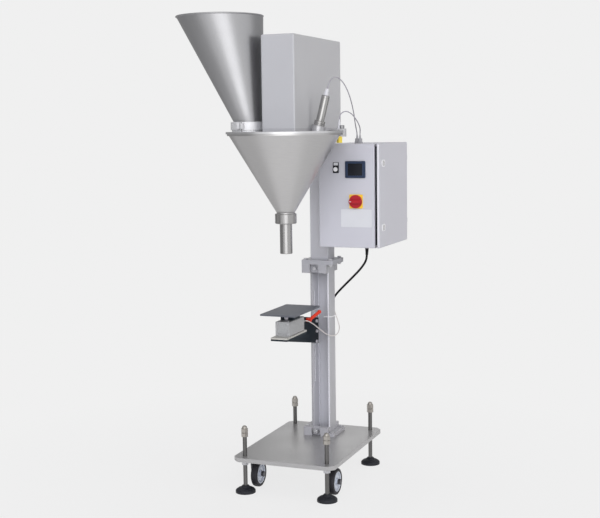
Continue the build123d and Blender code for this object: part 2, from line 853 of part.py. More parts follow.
# Pressed door with folded edges and its hinge knuckles.
def cabinet_door():
    w = door_wall
    door = block(door_x0, door_x1, cab_front, cab_back, cab_z, cab_top)
    door = fillet(door.edges().filter_by(Axis.X), 4)
    door = fillet(door.edges().group_by(Axis.X)[-1], 3)
    inner = block(door_x0, door_x1 - w, cab_front + w, cab_back - w, cab_z + w, cab_top - w)
    door -= inner
    for z in (cab_z + lock_rise, cab_top - lock_rise):
        door -= rod((door_x0, lock_y, z), (door_x1, lock_y, z), lock_r + run_fit)
    for z in hinge_heights():
        high = z + hinge_l / 2
        knuckle = post_rod(hinge_x, hinge_y, z, high, hinge_r)
        leaf = block(hinge_x, door_x0 + door_t - w, cab_back - w, hinge_y, z, high)
        door += knuckle + leaf
        door -= post_rod(hinge_x, hinge_y, z, high, hinge_pin_r + run_fit)
    return door


# Sealing strip glued inside the door, facing the cabinet lip.
def door_gasket():
    m = gasket_inset
    x0 = cab_x1 + slide_gap
    x1 = door_x1 - door_wall
    strip = block(x0, x1, cab_front + m, cab_back - m, cab_z + m, cab_top - m)
    m += gasket_w
    return strip - block(x0, x1, cab_front + m, cab_back - m, cab_z + m, cab_top - m)


# Quarter-turn lock with its tongue standing upright, clear of the lip.
def door_lock(z):
    out = door_x1 + lock_head_t
    barrel = rod((cab_x1 - 12, lock_y, z), (out, lock_y, z), lock_r)
    head = rod((door_x1 + run_fit, lock_y, z), (out, lock_y, z), lock_head_r)
    slot = block(out - 1.5, out, lock_y - 7, lock_y + 7, z - 1.5, z + 1.5)
    tongue = block(cab_x1 - 12 - tongue_t, cab_x1 - 12, lock_y - tongue_w / 2, lock_y + tongue_w / 2,
                   z - tongue_w / 2, z + tongue_l)
    return barrel + head + tongue - slot


# Mounting plate on four studs at the back wall of the enclosure.
def mounting_plate():
    m = back_plate_margin
    x0 = cab_x0 + cab_wall + plate_gap
    plate = block(x0, x0 + back_plate_t, cab_front + m, cab_back - m, cab_z + m, cab_top - m)
    m += stud_inset
    for y in (cab_front + m, cab_back - m):
        for z in (cab_z + m, cab_top - m):
            plate += rod((cab_x0 + cab_wall, y, z), (x0, y, z), stud_r)
    return plate


# Servo drive, power supply and terminal row on the mounting plate.
def cabinet_devices():
    x0 = cab_x0 + cab_wall + plate_gap + back_plate_t
    y0, y1 = cab_front + back_plate_margin, cab_back - back_plate_margin
    mid = cab_z + cab_h / 2
    low = mid - servo_drop
    y = y0 + servo_y
    drive = block(x0, x0 + servo_depth, y, y + servo_w, low, low + servo_h)
    for k in range(6):
        z = low + fin_h + k * fin_pitch
        drive -= block(x0 + servo_depth - fin_depth, x0 + servo_depth, y, y + fin_w, z, z + fin_h)
    low = mid + supply_rise
    supply = block(x0, x0 + supply_depth, y0 + supply_y, y0 + supply_y + supply_w, low, low + supply_h)
    low = mid - rail_drop
    rail = block(x0, x0 + rail_t, y0 + rail_inset, y1 - rail_inset, low, low + rail_h)
    edge = (terminal_h - rail_h) / 2
    for k in range(12):
        y = y0 + 2 * rail_inset + k * terminal_pitch
        rail += block(x0 + rail_t, x0 + rail_t + terminal_depth, y, y + terminal_w, low - edge, low + rail_h + edge)
    return together(drive, supply, rail)


def hmi_bezel():
    y1 = cab_front
    bezel = block(hmi_x - hmi_w / 2, hmi_x + hmi_w / 2, y1 - hmi_t, y1, hmi_z - hmi_h / 2, hmi_z + hmi_h / 2)
    bezel = fillet(bezel.edges().filter_by(Axis.Y), 5)
    bezel = chamfer(bezel.faces().sort_by(Axis.Y)[0].edges(), 1.5)
    return bezel - block(hmi_x - screen_w / 2, hmi_x + screen_w / 2, y1 - hmi_t, y1 - hmi_t + 2 * screen_sink,
                         hmi_z - screen_h / 2, hmi_z + screen_h / 2)


def hmi_screen():
    y0 = cab_front - hmi_t + screen_sink
    return block(hmi_x - screen_w / 2, hmi_x + screen_w / 2, y0, y0 + screen_sink,
                 hmi_z - screen_h / 2, hmi_z + screen_h / 2)


# Legend plate with the collar of the push-button.
def button_plate():
    y1 = cab_front
    plate = block(button_x - legend_w / 2, button_x + legend_w / 2, y1 - legend_t, y1,
                  button_z - legend_h / 2 + 8, button_z + legend_h / 2 + 8)
    plate = fillet(plate.edges().filter_by(Axis.Y), 3)
    plate += rod((button_x, y1, button_z), (button_x, y1 - button_bezel_h, button_z), button_bezel_r)
    return plate - rod((button_x, y1, button_z), (button_x, y1 - button_out, button_z), button_r + run_fit)


def push_button():
    out = cab_front - button_out
    cap = rod((button_x, cab_front + 20, button_z), (button_x, out, button_z), button_r)
    return chamfer(cap.edges().sort_by(Axis.Y)[0], 1.5)


def switch_plate():
    half = yellow_w / 2
    plate = block(switch_x - half, switch_x + half, cab_front - yellow_t, cab_front, switch_z - half, switch_z + half)
    plate = fillet(plate.edges().filter_by(Axis.Y), 4)
    return plate - rod((switch_x, cab_front, switch_z), (switch_x, cab_front - yellow_t, switch_z),
                       knob_stem_r + run_fit)


# Rotary main switch: stem, round skirt and a tapered grip.
def switch_knob():
    y0 = cab_front - yellow_t - slide_gap
    y1 = y0 - knob_base
    stem = rod((switch_x, cab_front + 12, switch_z), (switch_x, y0, switch_z), knob_stem_r)
    skirt = rod((switch_x, y0, switch_z), (switch_x, y1, switch_z), knob_r)
    skirt = chamfer(skirt.edges().filter_by(GeomType.CIRCLE).sort_by(Axis.Y)[0], 2)
    grip = block(switch_x - knob_r + 3, switch_x + knob_r - 3, y1 - knob_grip, y1,
                 switch_z - knob_grip_w / 2, switch_z + knob_grip_w / 2)
    grip = fillet(grip.edges().filter_by(Axis.Y), 6)
    grip = chamfer(grip.faces().sort_by(Axis.Y)[0].edges(), 2)
    return stem + skirt + grip


# Black bracket: a shelf, a web inside the post channel and the outer clamp jaw.
def scale_bracket():
    shelf = block(web_x0, web_x0 + shelf_w, shelf_front, shelf_back, shelf_z, shelf_z + shelf_t)
    web = side_plate(
        [(shelf_front, shelf_z), (web_rear_y, web_rear_low), (web_rear_y, web_rear_top), (web_high_y, web_high_z),
         (shelf_back, shelf_z + shelf_t), (shelf_front, shelf_z + shelf_t)], web_x0, web_x1)
    jaw = side_plate(
        [(jaw_front, shelf_z - 40), (web_rear_y, web_rear_low + 6), (web_rear_y, web_rear_top), (jaw_front, web_high_z - 4)],
        jaw_x0, jaw_x1)
    frame = shelf + web
    holes = [rod((jaw_x0, slot_y, z), (web_x1, slot_y, z), table_bolt_r + seat_fit) for z in table_bolts_z]
    holes.append(rod((jaw_x0, lever_y, lever_z), (web_x1, lever_y, lever_z), lever_stud_r + run_fit))
    for hole in holes:
        frame -= hole
        jaw -= hole
    return together(frame, jaw)


# Clamp bolts through the slotted post wall, and the bolt on the pan carrier.
def scale_bolts():
    parts = []
    for z in table_bolts_z:
        bolt = rod((jaw_x0 - 4, slot_y, z), (web_x1 + 1, slot_y, z), table_bolt_r)
        bolt += rod((web_x1, slot_y, z), (web_x1 + bolt_head_t, slot_y, z), bolt_head_r)
        bolt += hex_bar((jaw_x0 - bolt_head_t, slot_y, z), (jaw_x0, slot_y, z), 2 * bolt_head_r)
        parts.append(bolt)
    z = carrier_z + carrier_h / 2
    parts.append(hex_bar((0, carrier_front, z), (0, carrier_front - bolt_head_t, z), 2 * bolt_head_r + 2))
    return together(*parts)


def cell_plate():
    plate = block(web_x0, web_x0 + shelf_w, shelf_front, shelf_back, cell_plate_z, cell_z)
    return chamfer(plate.edges().group_by(Axis.Z)[-1], 1)


# Weighing cell in a closed housing with a recessed front and a gland at the back.
def load_cell():
    back = cell_front + cell_l
    body = block(-cell_w / 2, cell_w / 2, cell_front, back, cell_z, carrier_z)
    body = fillet(body.edges().filter_by(Axis.Y), 3)
    body -= block(-cell_w / 2 + 9, cell_w / 2 - 9, cell_front, cell_front + 3, cell_z + 12, carrier_z - 14)
    x, z = cell_w / 2 - 10, carrier_z - 28
    return body + rod((x, back, z), (x, back + 14, z), 6)


def pan_carrier():
    body = block(-carrier_w / 2, carrier_w / 2, carrier_front, carrier_front + carrier_l, carrier_z, carrier_z + carrier_h)
    return chamfer(body.edges().filter_by(Axis.Z), 5)


# Pan with its edges folded down.
def weigh_pan():
    y0 = pan_centre_y - pan_l / 2
    pan = block(-pan_w / 2, pan_w / 2, y0, y0 + pan_l, pan_top - pan_rim, pan_top)
    pan = fillet(pan.edges().filter_by(Axis.Z), pan_corner_r)
    t = pan_t
    return pan - block(-pan_w / 2 + t, pan_w / 2 - t, y0 + t, y0 + pan_l - t, pan_top - pan_rim, pan_top - t)


# Clamping lever: stud, hub and a tapered arm that leans outwards.
def clamp_lever():
    x0 = web_x1 + slide_gap
    stud = rod((jaw_x0, lever_y, lever_z), (x0, lever_y, lever_z), lever_stud_r)
    hub = rod((x0, lever_y, lever_z), (x0 + lever_hub_l, lever_y, lever_z), lever_hub_r)
    hub = chamfer(hub.edges().filter_by(GeomType.CIRCLE).sort_by(Axis.X)[-1], 3)
    dx, dy, dz = lever_reach
    start = (x0 + lever_hub_l - lever_arm_r - 2, lever_y, lever_z)
    end = (start[0] + dx, lever_y + dy, lever_z + dz)
    return stud + hub + rod(start, end, lever_arm_r) + Pos(*end) * Sphere(1.25 * lever_arm_r)


# A cable gland on a wall: hexagon, domed nut and the bore for its cable.
def gland(base, direction):
    d = Vector(*direction)
    b = Vector(*base)
    hex_end = b + d * gland_hex_t
    end = hex_end + d * gland_dome_t
    dome = rod(tuple(hex_end), tuple(end), gland_dome_r)
    return hex_bar(tuple(b), tuple(hex_end), gland_hex_af) + dome


# Gland places: where each cable leaves or enters a wall.
gland_l = gland_hex_t + gland_dome_t
gland_places = {
    "power_cabinet": ((219.0, 50.0, cab_z), (0, 0, -1)),
    "power_head": ((-20.0, box_back, head_z + 114.0), (0, 1, 0)),
    "cell_cabinet": ((cab_x0, 132.0, cab_z + 118.0), (-1, 0, 0)),
    "probe_cabinet": ((206.0, -50.0, cab_top), (0, 0, 1)),
    "switch_cabinet": ((236.0, -95.0, cab_top), (0, 0, 1)),
}


def cable_glands():
    return together(*[gland(*place) for place in gland_places.values()])


# The point where a cable meets the face of its gland.
def gland_end(name):
    base, direction = gland_places[name]
    return tuple(b + gland_l * d for b, d in zip(base, direction))


# Route points whose heights count from the head joint.
def from_joint(*points):
    return [(x, y, joint_z + z) for x, y, z in points]


# Cable routes from end to end.
def cable_routes():
    probe_s = probe_boss_h + probe_l + probe_cap_l
    a = math.radians(switch_arm)
    fitting_x, fitting_y = switch_ring_r * math.cos(a), auger_y + switch_ring_r * math.sin(a)
    fitting_z = head_z + switch_tab_t + switch_fitting_h
    cell_out = (cell_w / 2 - 10, cell_front + cell_l + 14, carrier_z - 28)
    return {
        "power_lead": (power_r, [gland_end("power_cabinet"), *from_joint(
            (219, 50, 43), (207, 51, 14), (172, 53, -24), (122, 57, -71), (78, 64, -122), (43, 76, -168),
            (16, 90, -203), (-24, 101, -215), (-64, 110, -202), (-89, 115, -167), (-89, 118, -110), (-86, 119, -40),
            (-84, 118, 34), (-86, 118, 139), (-84, 119, 244), (-86, 118, 349), (-83, 121, 449), (-77, 140, 533),
            (-66, 176, 605), (-52, 200, 668), (-36, 208, 721), (-26, 192, 756), (-20, 159, 777)),
            gland_end("power_head")]),
        "cell_lead": (signal_r, [cell_out, *from_joint(
            (25, -308, -243), (27, -262, -257), (31, -210, -279), (37, -160, -307), (44, -115, -333),
            (52, -78, -352), (60, -42, -363), (66, 0, -367), (68, 36, -359), (68, 60, -336), (64, 68, -306),
            (57, 62, -275), (46, 58, -243), (34, 57, -205), (20, 58, -160), (5, 65, -116), (-7, 84, -82),
            (-15, 98, -42), (-20, 102, 12), (-23, 108, 87), (-25, 120, 141), (-22, 131, 189), (-4, 132, 217)),
            gland_end("cell_cabinet")]),
        "probe_lead": (signal_r, [along_probe(probe_s), along_probe(probe_s + 28), *from_joint(
            (193, -350, 911), (216, -326, 905), (232, -292, 871), (238, -252, 827), (236, -208, 781),
            (229, -162, 739), (218, -116, 701), (209, -74, 671), (206, -50, 647)), gland_end("probe_cabinet")]),
        "switch_lead": (signal_r, [(fitting_x, fitting_y, fitting_z), (fitting_x, fitting_y, fitting_z + 26), *from_joint(
            (195, -247, 746), (216, -236, 755), (238, -220, 741), (251, -194, 714), (252, -158, 690),
            (246, -122, 671), (236, -95, 651)), gland_end("switch_cabinet")]),
    }


# A round cable along straight runs joined by the largest tangent arcs they allow.
def cable(name):
    r, route = cable_routes()[name]
    points = [Vector(*p) for p in route]
    radii = []
    for a, b, c in zip(points, points[1:], points[2:]):
        half_turn = math.radians((b - a).get_angle(c - b)) / 2
        radii.append(0.45 * min((b - a).length, (c - b).length) / math.tan(half_turn))
    path = FilletPolyline(*points, radius=radii)
    tube = sweep(Plane(origin=path @ 0, z_dir=path % 0) * Circle(r), path)
    ratio = tube.volume / (math.pi * r * r * path.length)
    print(name, "length", round(path.length), "volume ratio", round(ratio, 4),
          "radii", [round(q) for q in radii])
    return tube


def build_all():
    nodes = {
        "base_plate": base_plate(),
        "wheel_brackets": together(caster_bracket(-1), caster_bracket(1)),
        "wheel_rim_left": wheel_rim(-1),
        "wheel_rim_right": wheel_rim(1),
        "wheel_tyre_left": wheel_tyre(-1),
        "wheel_tyre_right": wheel_tyre(1),
        "foot_collar": foot_collar(),
        "top_collar": top_collar(),
        "lower_post": lower_post(),
        "upper_post": upper_post(),
        "stand_fasteners": stand_fasteners(),
        "head_plate": head_plate(),
        "drive_box": drive_box(),
        "hopper_lid": hopper_lid(),
        "hopper_cone": hopper_cone(),
        "coupling_collar": coupling_collar(),
        "auger_tube": auger_tube(),
        "auger_screw": auger_screw(),
        "screw_pulley": screw_pulley(),
        "agitator": agitator(),
        "gear_case": gear_case(),
        "servo_motor": servo_motor(),
        "motor_pulley": motor_pulley(),
        "drive_belt": drive_belt(),
        "infeed_hopper": infeed_hopper(),
        "infeed_collar": infeed_collar(),
        "level_probe": level_probe(),
        "lid_clamps": lid_clamps(),
        "lid_switch": lid_switch(),
        "lid_switch_fitting": lid_switch_fitting(),
        "lid_switch_key": lid_switch_key(),
        "cabinet_body": cabinet_body(),
        "cabinet_door": cabinet_door(),
        "door_gasket": door_gasket(),
        "door_lock_upper": door_lock(cab_top - lock_rise),
        "door_lock_lower": door_lock(cab_z + lock_rise),
        "mounting_plate": mounting_plate(),
        "cabinet_devices": cabinet_devices(),
        "hmi_bezel": hmi_bezel(),
        "hmi_screen": hmi_screen(),
        "button_plate": button_plate(),
        "push_button": push_button(),
        "switch_plate": switch_plate(),
        "switch_knob": switch_knob(),
        "cable_glands": cable_glands(),
        "scale_bracket": scale_bracket(),
        "scale_bolts": scale_bolts(),
        "cell_plate": cell_plate(),
        "load_cell": load_cell(),
        "pan_carrier": pan_carrier(),
        "weigh_pan": weigh_pan(),
        "clamp_lever": clamp_lever(),
    }
    for name, (x, y) in foot_places().items():
        nodes["foot_" + name] = levelling_foot(x, y)
    for name in cable_routes():
        nodes[name] = cable(name)
    return nodes


# Bottom centre of the machine, measured without its loose cables.
def bottom_centre(nodes):
    loose = cable_routes()
    boxes = [shape.bounding_box() for name, shape in nodes.items() if name not in loose]
    low = [min(tuple(box.min)[k] for box in boxes) for k in range(3)]
    high = [max(tuple(box.max)[k] for box in boxes) for k in range(3)]
    return ((low[0] + high[0]) / 2, (low[1] + high[1]) / 2, low[2])


def main():
    os.makedirs("parts", exist_ok=True)
    nodes = build_all()
    centre = bottom_centre(nodes)
    print("bottom centre in the post frame", [round(c, 3) for c in centre])
    for name, shape in nodes.items():
        export_step(Pos(-centre[0], -centre[1], -centre[2]) * shape, f"parts/{name}.step")


main()
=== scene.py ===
# Auger powder filler: finishes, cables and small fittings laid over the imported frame.
import bpy
import math
import numpy as np
from mathutils import Matrix, Vector


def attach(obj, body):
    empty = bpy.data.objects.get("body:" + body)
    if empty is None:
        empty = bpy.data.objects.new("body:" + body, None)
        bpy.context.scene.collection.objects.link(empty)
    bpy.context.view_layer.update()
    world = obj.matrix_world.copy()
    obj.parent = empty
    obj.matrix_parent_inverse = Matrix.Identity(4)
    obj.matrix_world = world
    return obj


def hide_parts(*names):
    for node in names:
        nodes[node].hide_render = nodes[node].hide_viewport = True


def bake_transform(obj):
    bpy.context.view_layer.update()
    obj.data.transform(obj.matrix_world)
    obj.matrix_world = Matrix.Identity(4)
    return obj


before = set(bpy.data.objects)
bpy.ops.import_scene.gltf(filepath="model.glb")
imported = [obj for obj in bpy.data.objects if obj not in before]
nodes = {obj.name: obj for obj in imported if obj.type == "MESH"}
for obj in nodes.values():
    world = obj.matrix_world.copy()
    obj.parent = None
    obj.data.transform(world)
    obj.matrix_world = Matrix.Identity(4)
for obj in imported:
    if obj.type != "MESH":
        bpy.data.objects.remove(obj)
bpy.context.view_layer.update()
print("frame loaded:", len(nodes), "nodes")

# the upright axis of the dosing screw; the post and the weighing table share its x
screwX, screwY = 0.08325, -0.264

viewSet = {"place": (2.12555, -5.2365, 1.7306), "yaw": 21.657, "pitch": 6.455, "roll": 0.757,
           "lens": 69.732, "sensor": 36.0, "farthest": 200.0}


def aimCamera(s):
    # right, up and back vectors from yaw about Z, then pitch down, then a small roll about the view line
    yaw, pitch, roll = (math.radians(s[k]) for k in ("yaw", "pitch", "roll"))
    flatRight = np.array([math.cos(yaw), math.sin(yaw), 0.0])
    flatUp = np.array([-math.sin(yaw) * math.sin(pitch), math.cos(yaw) * math.sin(pitch), math.cos(pitch)])
    back = np.array([math.sin(yaw) * math.cos(pitch), -math.cos(yaw) * math.cos(pitch), math.sin(pitch)])
    right = math.cos(roll) * flatRight - math.sin(roll) * flatUp
    up = math.sin(roll) * flatRight + math.cos(roll) * flatUp
    pose = np.eye(4)
    pose[:3, 0], pose[:3, 1], pose[:3, 2], pose[:3, 3] = right, up, back, s["place"]
    data = bpy.data.cameras.new("photoCamera")
    data.lens = s["lens"]
    data.sensor_width = s["sensor"]
    data.sensor_fit = "HORIZONTAL"
    data.clip_end = s["farthest"]
    cam = bpy.data.objects.new("photoCamera", data)
    bpy.context.scene.collection.objects.link(cam)
    cam.matrix_world = Matrix(pose.tolist())
    bpy.context.scene.camera = cam


aimCamera(viewSet)
bpy.context.scene.view_settings.view_transform = "Standard"
print("camera placed")


def put(tree, kind, sets=None, links=None):
    # one shader node with its values set and its inputs linked
    node = tree.nodes.new("ShaderNode" + kind)
    for key, value in (sets or {}).items():
        if isinstance(key, int) or key in node.inputs:
            node.inputs[key].default_value = value
        else:
            setattr(node, key, value)
    for key, socket in (links or {}).items():
        tree.links.new(socket, node.inputs[key])
    return node


stageSet = {"backdrop": 0.871, "floor": 0.86, "floorHalf": 60.0, "floorDrop": 0.0005, "shadow": 0.14,
            "fadeFrom": 0.6, "fadeTo": 2.0, "roomLow": 0.04, "roomHigh": 0.47, "riseFrom": -0.2,
            "roomTone": (1.0, 0.995, 0.99, 1)}


def seenRays(tree):
    # 1 for the rays that show the backdrop: the camera's own, and those off metal and through glass
    path = put(tree, "LightPath")
    pair = put(tree, "Math", {"operation": "ADD"},
               {0: path.outputs["Is Camera Ray"], 1: path.outputs["Is Glossy Ray"]})
    return put(tree, "Math", {"operation": "ADD", "use_clamp": True},
               {0: pair.outputs[0], 1: path.outputs["Is Transmission Ray"]}).outputs[0]


def roomLight(s):
    # seen rays meet the even backdrop; the rest are lit by a pale room, a little brighter above
    world = bpy.data.worlds.new("studioRoom")
    bpy.context.scene.world = world
    world.use_nodes = True
    tree = world.node_tree
    tree.nodes.clear()
    way = put(tree, "TexCoord").outputs["Generated"]
    split = put(tree, "SeparateXYZ", links={"Vector": way})
    rise = put(tree, "MapRange", {"From Min": s["riseFrom"], "From Max": 1.0, "To Min": s["roomLow"],
                                  "To Max": s["roomHigh"]}, {"Value": split.outputs["Z"]})
    lit = put(tree, "Background", {"Color": s["roomTone"]}, {"Strength": rise.outputs["Result"]})
    plain = put(tree, "Background", {"Strength": 1.0, "Color": (s["backdrop"],) * 3 + (1,)})
    mix = put(tree, "MixShader", links={0: seenRays(tree), 1: lit.outputs[0], 2: plain.outputs[0]})
    out = tree.nodes.new("ShaderNodeOutputWorld")
    tree.links.new(mix.outputs[0], out.inputs["Surface"])


def paleFloor(s):
    # a wide flat sheet under the feet: it takes a faint shadow near the machine
    # and melts into the backdrop further out
    mesh = bpy.data.meshes.new("paleFloor")
    half = s["floorHalf"]
    corners = [(-half, -half, 0), (half, -half, 0), (half, half, 0), (-half, half, 0)]
    mesh.from_pydata(corners, [], [(0, 1, 2, 3)])
    floor = bpy.data.objects.new("paleFloor", mesh)
    bpy.context.scene.collection.objects.link(floor)
    floor.location.z = -s["floorDrop"]
    mat = bpy.data.materials.new("paleFloor")
    mat.use_nodes = True
    tree = mat.node_tree
    tree.nodes.clear()
    matt = put(tree, "BsdfDiffuse", {"Color": (s["floor"],) * 3 + (1,)})
    glow = put(tree, "Emission", {"Color": (s["backdrop"],) * 3 + (1,)})
    away = put(tree, "VectorMath", {"operation": "LENGTH"}, {0: put(tree, "TexCoord").outputs["Object"]})
    fade = put(tree, "MapRange", {"From Min": s["fadeFrom"], "From Max": s["fadeTo"],
                                  "To Min": 1 - s["shadow"], "To Max": 1.0}, {"Value": away.outputs["Value"]})
    share = put(tree, "Math", {"operation": "MULTIPLY"}, {0: fade.outputs[0], 1: seenRays(tree)})
    mix = put(tree, "MixShader", links={0: share.outputs[0], 1: matt.outputs[0], 2: glow.outputs[0]})
    out = tree.nodes.new("ShaderNodeOutputMaterial")
    tree.links.new(mix.outputs[0], out.inputs["Surface"])
    mesh.materials.append(mat)


curtainSet = {
    "leftCurtain": {"from": -122.0, "to": -245.0, "radius": 4.5, "high": 5.0, "glow": 0.34},
    "rightCurtain": {"from": 22.0, "to": 100.0, "radius": 4.5, "high": 5.0, "glow": 0.40},
    "streakCurtain": {"from": -88.0, "to": -50.0, "radius": 4.0, "high": 3.3, "glow": 2.1},
    "leftCard": {"from": -128.0, "to": -235.0, "radius": 0.75, "reach": 4.4, "glow": 0.60},
    "rightCard": {"from": -22.0, "to": 80.0, "radius": 0.85, "reach": 4.4, "glow": 0.70},
}


def hangCurtain(name, s):
    # a grey curtain on an arc round the machine, or a card just above the floor,
    # there only for what polished metal mirrors
    steps, lift = 25, (0, 0, 0.001)
    a = np.radians(np.linspace(s["from"], s["to"], steps))
    way = np.stack([np.cos(a), np.sin(a), np.zeros(steps)], -1)
    far = (0, 0, s["high"]) if "high" in s else (s["reach"] - s["radius"]) * way + lift
    points = np.concatenate([s["radius"] * way, s["radius"] * way + far])
    mesh = bpy.data.meshes.new(name)
    mesh.from_pydata(points.tolist(), [], [(i, i + 1, i + 1 + steps, i + steps) for i in range(steps - 1)])
    mat = bpy.data.materials.new(name)
    mat.use_nodes = True
    mat.node_tree.nodes.clear()
    glow = put(mat.node_tree, "Emission", {"Color": (s["glow"],) * 3 + (1,)})
    out = mat.node_tree.nodes.new("ShaderNodeOutputMaterial")
    mat.node_tree.links.new(glow.outputs[0], out.inputs["Surface"])
    mesh.materials.append(mat)
    curtain = bpy.data.objects.new(name, mesh)
    bpy.context.scene.collection.objects.link(curtain)
    curtain.visible_camera = False
    curtain.visible_diffuse = False
    curtain.visible_transmission = False
    curtain.visible_shadow = False


lampSet = {
    "keySun": {"strength": 2.75, "angle": 60, "from": (0.32, -1.0, 0.25), "tone": (0.965, 0.975, 1.05)},
    "sideSun": {"strength": 1.0, "angle": 50, "from": (1.0, -0.2, 0.45), "tone": (1.03, 1.0, 0.965)},
    "leftSun": {"strength": 1.3, "angle": 50, "from": (-1.0, 0.2, 0.12), "tone": (1.0, 1.0, 1.0)},
    "backSun": {"strength": 1.6, "angle": 50, "from": (0.2, 1.0, 0.12), "tone": (1.0, 1.0, 1.0)},
}


def hangLamps(lamps):
    # wide soft suns that light the paint; what metal mirrors comes from the backdrop and the curtains
    for name, s in lamps.items():
        data = bpy.data.lights.new(name, "SUN")
        data.energy = s["strength"]
        data.color = s["tone"]
        data.angle = math.radians(s["angle"])
        lamp = bpy.data.objects.new(name, data)
        bpy.context.scene.collection.objects.link(lamp)
        lamp.visible_glossy = False
        lamp.rotation_mode = "QUATERNION"
        lamp.rotation_quaternion = Vector(s["from"]).to_track_quat("Z", "Y")


roomLight(stageSet)
paleFloor(stageSet)
for name, s in curtainSet.items():
    hangCurtain(name, s)
hangLamps(lampSet)
print("stage lit")


def startFinish(name, s):
    mat = bpy.data.materials.new(name)
    mat.use_nodes = True
    tree = mat.node_tree
    tree.nodes.clear()
    shade = put(tree, "BsdfPrincipled", {"Metallic": s.get("metal", 0.0), "Roughness": s["rough"]})
    shade.inputs["Base Color"].default_value = tuple(s["colour"]) + (1,)
    shade.inputs["Specular IOR Level"].default_value = s.get("gloss", 0.5)
    out = tree.nodes.new("ShaderNodeOutputMaterial")
    tree.links.new(shade.outputs[0], out.inputs["Surface"])
    place = put(tree, "TexCoord").outputs["Object"]
    return mat, tree, shade, place


def tint(colour, k):
    return tuple(min(1.0, c * k) for c in colour) + (1,)


def speckle(tree, place, scale, detail, stretch=None):
    # noise read in metres, stretched along an axis where the surface was ground or rolled
    if stretch:
        place = put(tree, "Mapping", {"Scale": stretch}, {"Vector": place}).outputs[0]
    return put(tree, "TexNoise", {"Scale": scale, "Detail": detail}, {"Vector": place}).outputs["Fac"]


def rampOf(tree, fac, stops, mode="LINEAR"):
    # a colour ramp through the given (position, colour) stops
    node = put(tree, "ValToRGB", links={"Fac": fac})
    node.color_ramp.interpolation = mode
    steps = node.color_ramp.elements
    while len(steps) < len(stops):
        steps.new(1.0)
    for step, (at, colour) in zip(steps, stops):
        step.position = at
        step.color = colour
    return node.outputs["Color"]


# nearly all of Blender's noise lies between these two values
noiseSpan = (0.3, 0.7)


def shadeBetween(tree, fac, low, high):
    return rampOf(tree, fac, list(zip(noiseSpan, (low, high))))


def swing(tree, fac, middle, down, up):
    # a value that follows the noise from middle - down to middle + up
    node = put(tree, "MapRange", {"From Min": noiseSpan[0], "From Max": noiseSpan[1],
                                  "To Min": middle - down, "To Max": middle + up}, {"Value": fac})
    return node.outputs["Result"]


# rays per edge look-up, and the cosine between true and softened normal where the paler edge starts and is full
edgeSamples = 4
paleEdgeSpan = (0.995, 0.86)


def relief(tree, shade, height, strength, depth, roundness):
    # small surface relief, on top of edges softened by a given radius
    soft = put(tree, "Bevel", {"samples": edgeSamples, "Radius": roundness})
    bump = put(tree, "Bump", {"Strength": strength, "Distance": depth},
               {"Height": height, "Normal": soft.outputs[0]})
    tree.links.new(bump.outputs[0], shade.inputs["Normal"])


def rubbedAndHighlitEdges(tree, colour, light, radius):
    # the softened normal leaves the true one only near an edge: there the coat is paler, partly rubbed wear and
    # partly a painted highlight where the edge catches the light
    soft = put(tree, "Bevel", {"samples": edgeSamples, "Radius": radius})
    true = put(tree, "NewGeometry").outputs["Normal"]
    dot = put(tree, "VectorMath", {"operation": "DOT_PRODUCT"}, {0: soft.outputs[0], 1: true})
    mask = put(tree, "MapRange", {"From Min": paleEdgeSpan[0], "From Max": paleEdgeSpan[1], "To Min": 0.0, "To Max": 1.0},
               {"Value": dot.outputs["Value"]})
    mix = put(tree, "MixRGB", {"Color2": light}, {"Fac": mask.outputs["Result"], "Color1": colour})
    return mix.outputs[0]


def timesShade(tree, colour, factor):
    return put(tree, "MixRGB", {"blend_type": "MULTIPLY", "Fac": 1.0},
               {"Color1": colour, "Color2": factor}).outputs[0]


def paintedLightPatch(tree, place, patch):
    # the factor k where x and y both lie within a half width of their centres, else 1; it paints light or shade
    # onto the faces it picks out
    at = put(tree, "SeparateXYZ", links={"Vector": place})
    near = [put(tree, "Math", {"operation": "COMPARE", 1: patch[key][0], 2: patch[key][1]},
                {0: at.outputs[key.upper()]}) for key in "xy"]
    both = put(tree, "Math", {"operation": "MULTIPLY"}, {0: near[0].outputs[0], 1: near[1].outputs[0]})
    return put(tree, "MapRange", {"To Min": 1.0, "To Max": patch["k"]},
               {"Value": both.outputs[0]}).outputs["Result"]


def heightShade(tree, place, stops):
    # a grey factor by height, straight between the given (height, factor) stops
    low, high = stops[0][0], stops[-1][0]
    height = put(tree, "SeparateXYZ", links={"Vector": place}).outputs["Z"]
    at = put(tree, "MapRange", {"From Min": low, "From Max": high}, {"Value": height}).outputs["Result"]
    return rampOf(tree, at, [((z - low) / (high - low), (k, k, k, 1)) for z, k in stops])


def clouded(tree, cloud, s):
    # the colour a little darker and paler by turns, as the noise goes
    return shadeBetween(tree, cloud, tint(s["colour"], 1 - s["spread"]), tint(s["colour"], 1 + s["spread"]))


coatSet = {"cloud": 3.0, "cloudDetail": 4.0, "peel": 650.0, "peelDetail": 2.0, "bump": 0.12, "depth": 0.0006,
           "edgeWidth": 0.0025, "swing": 0.05}


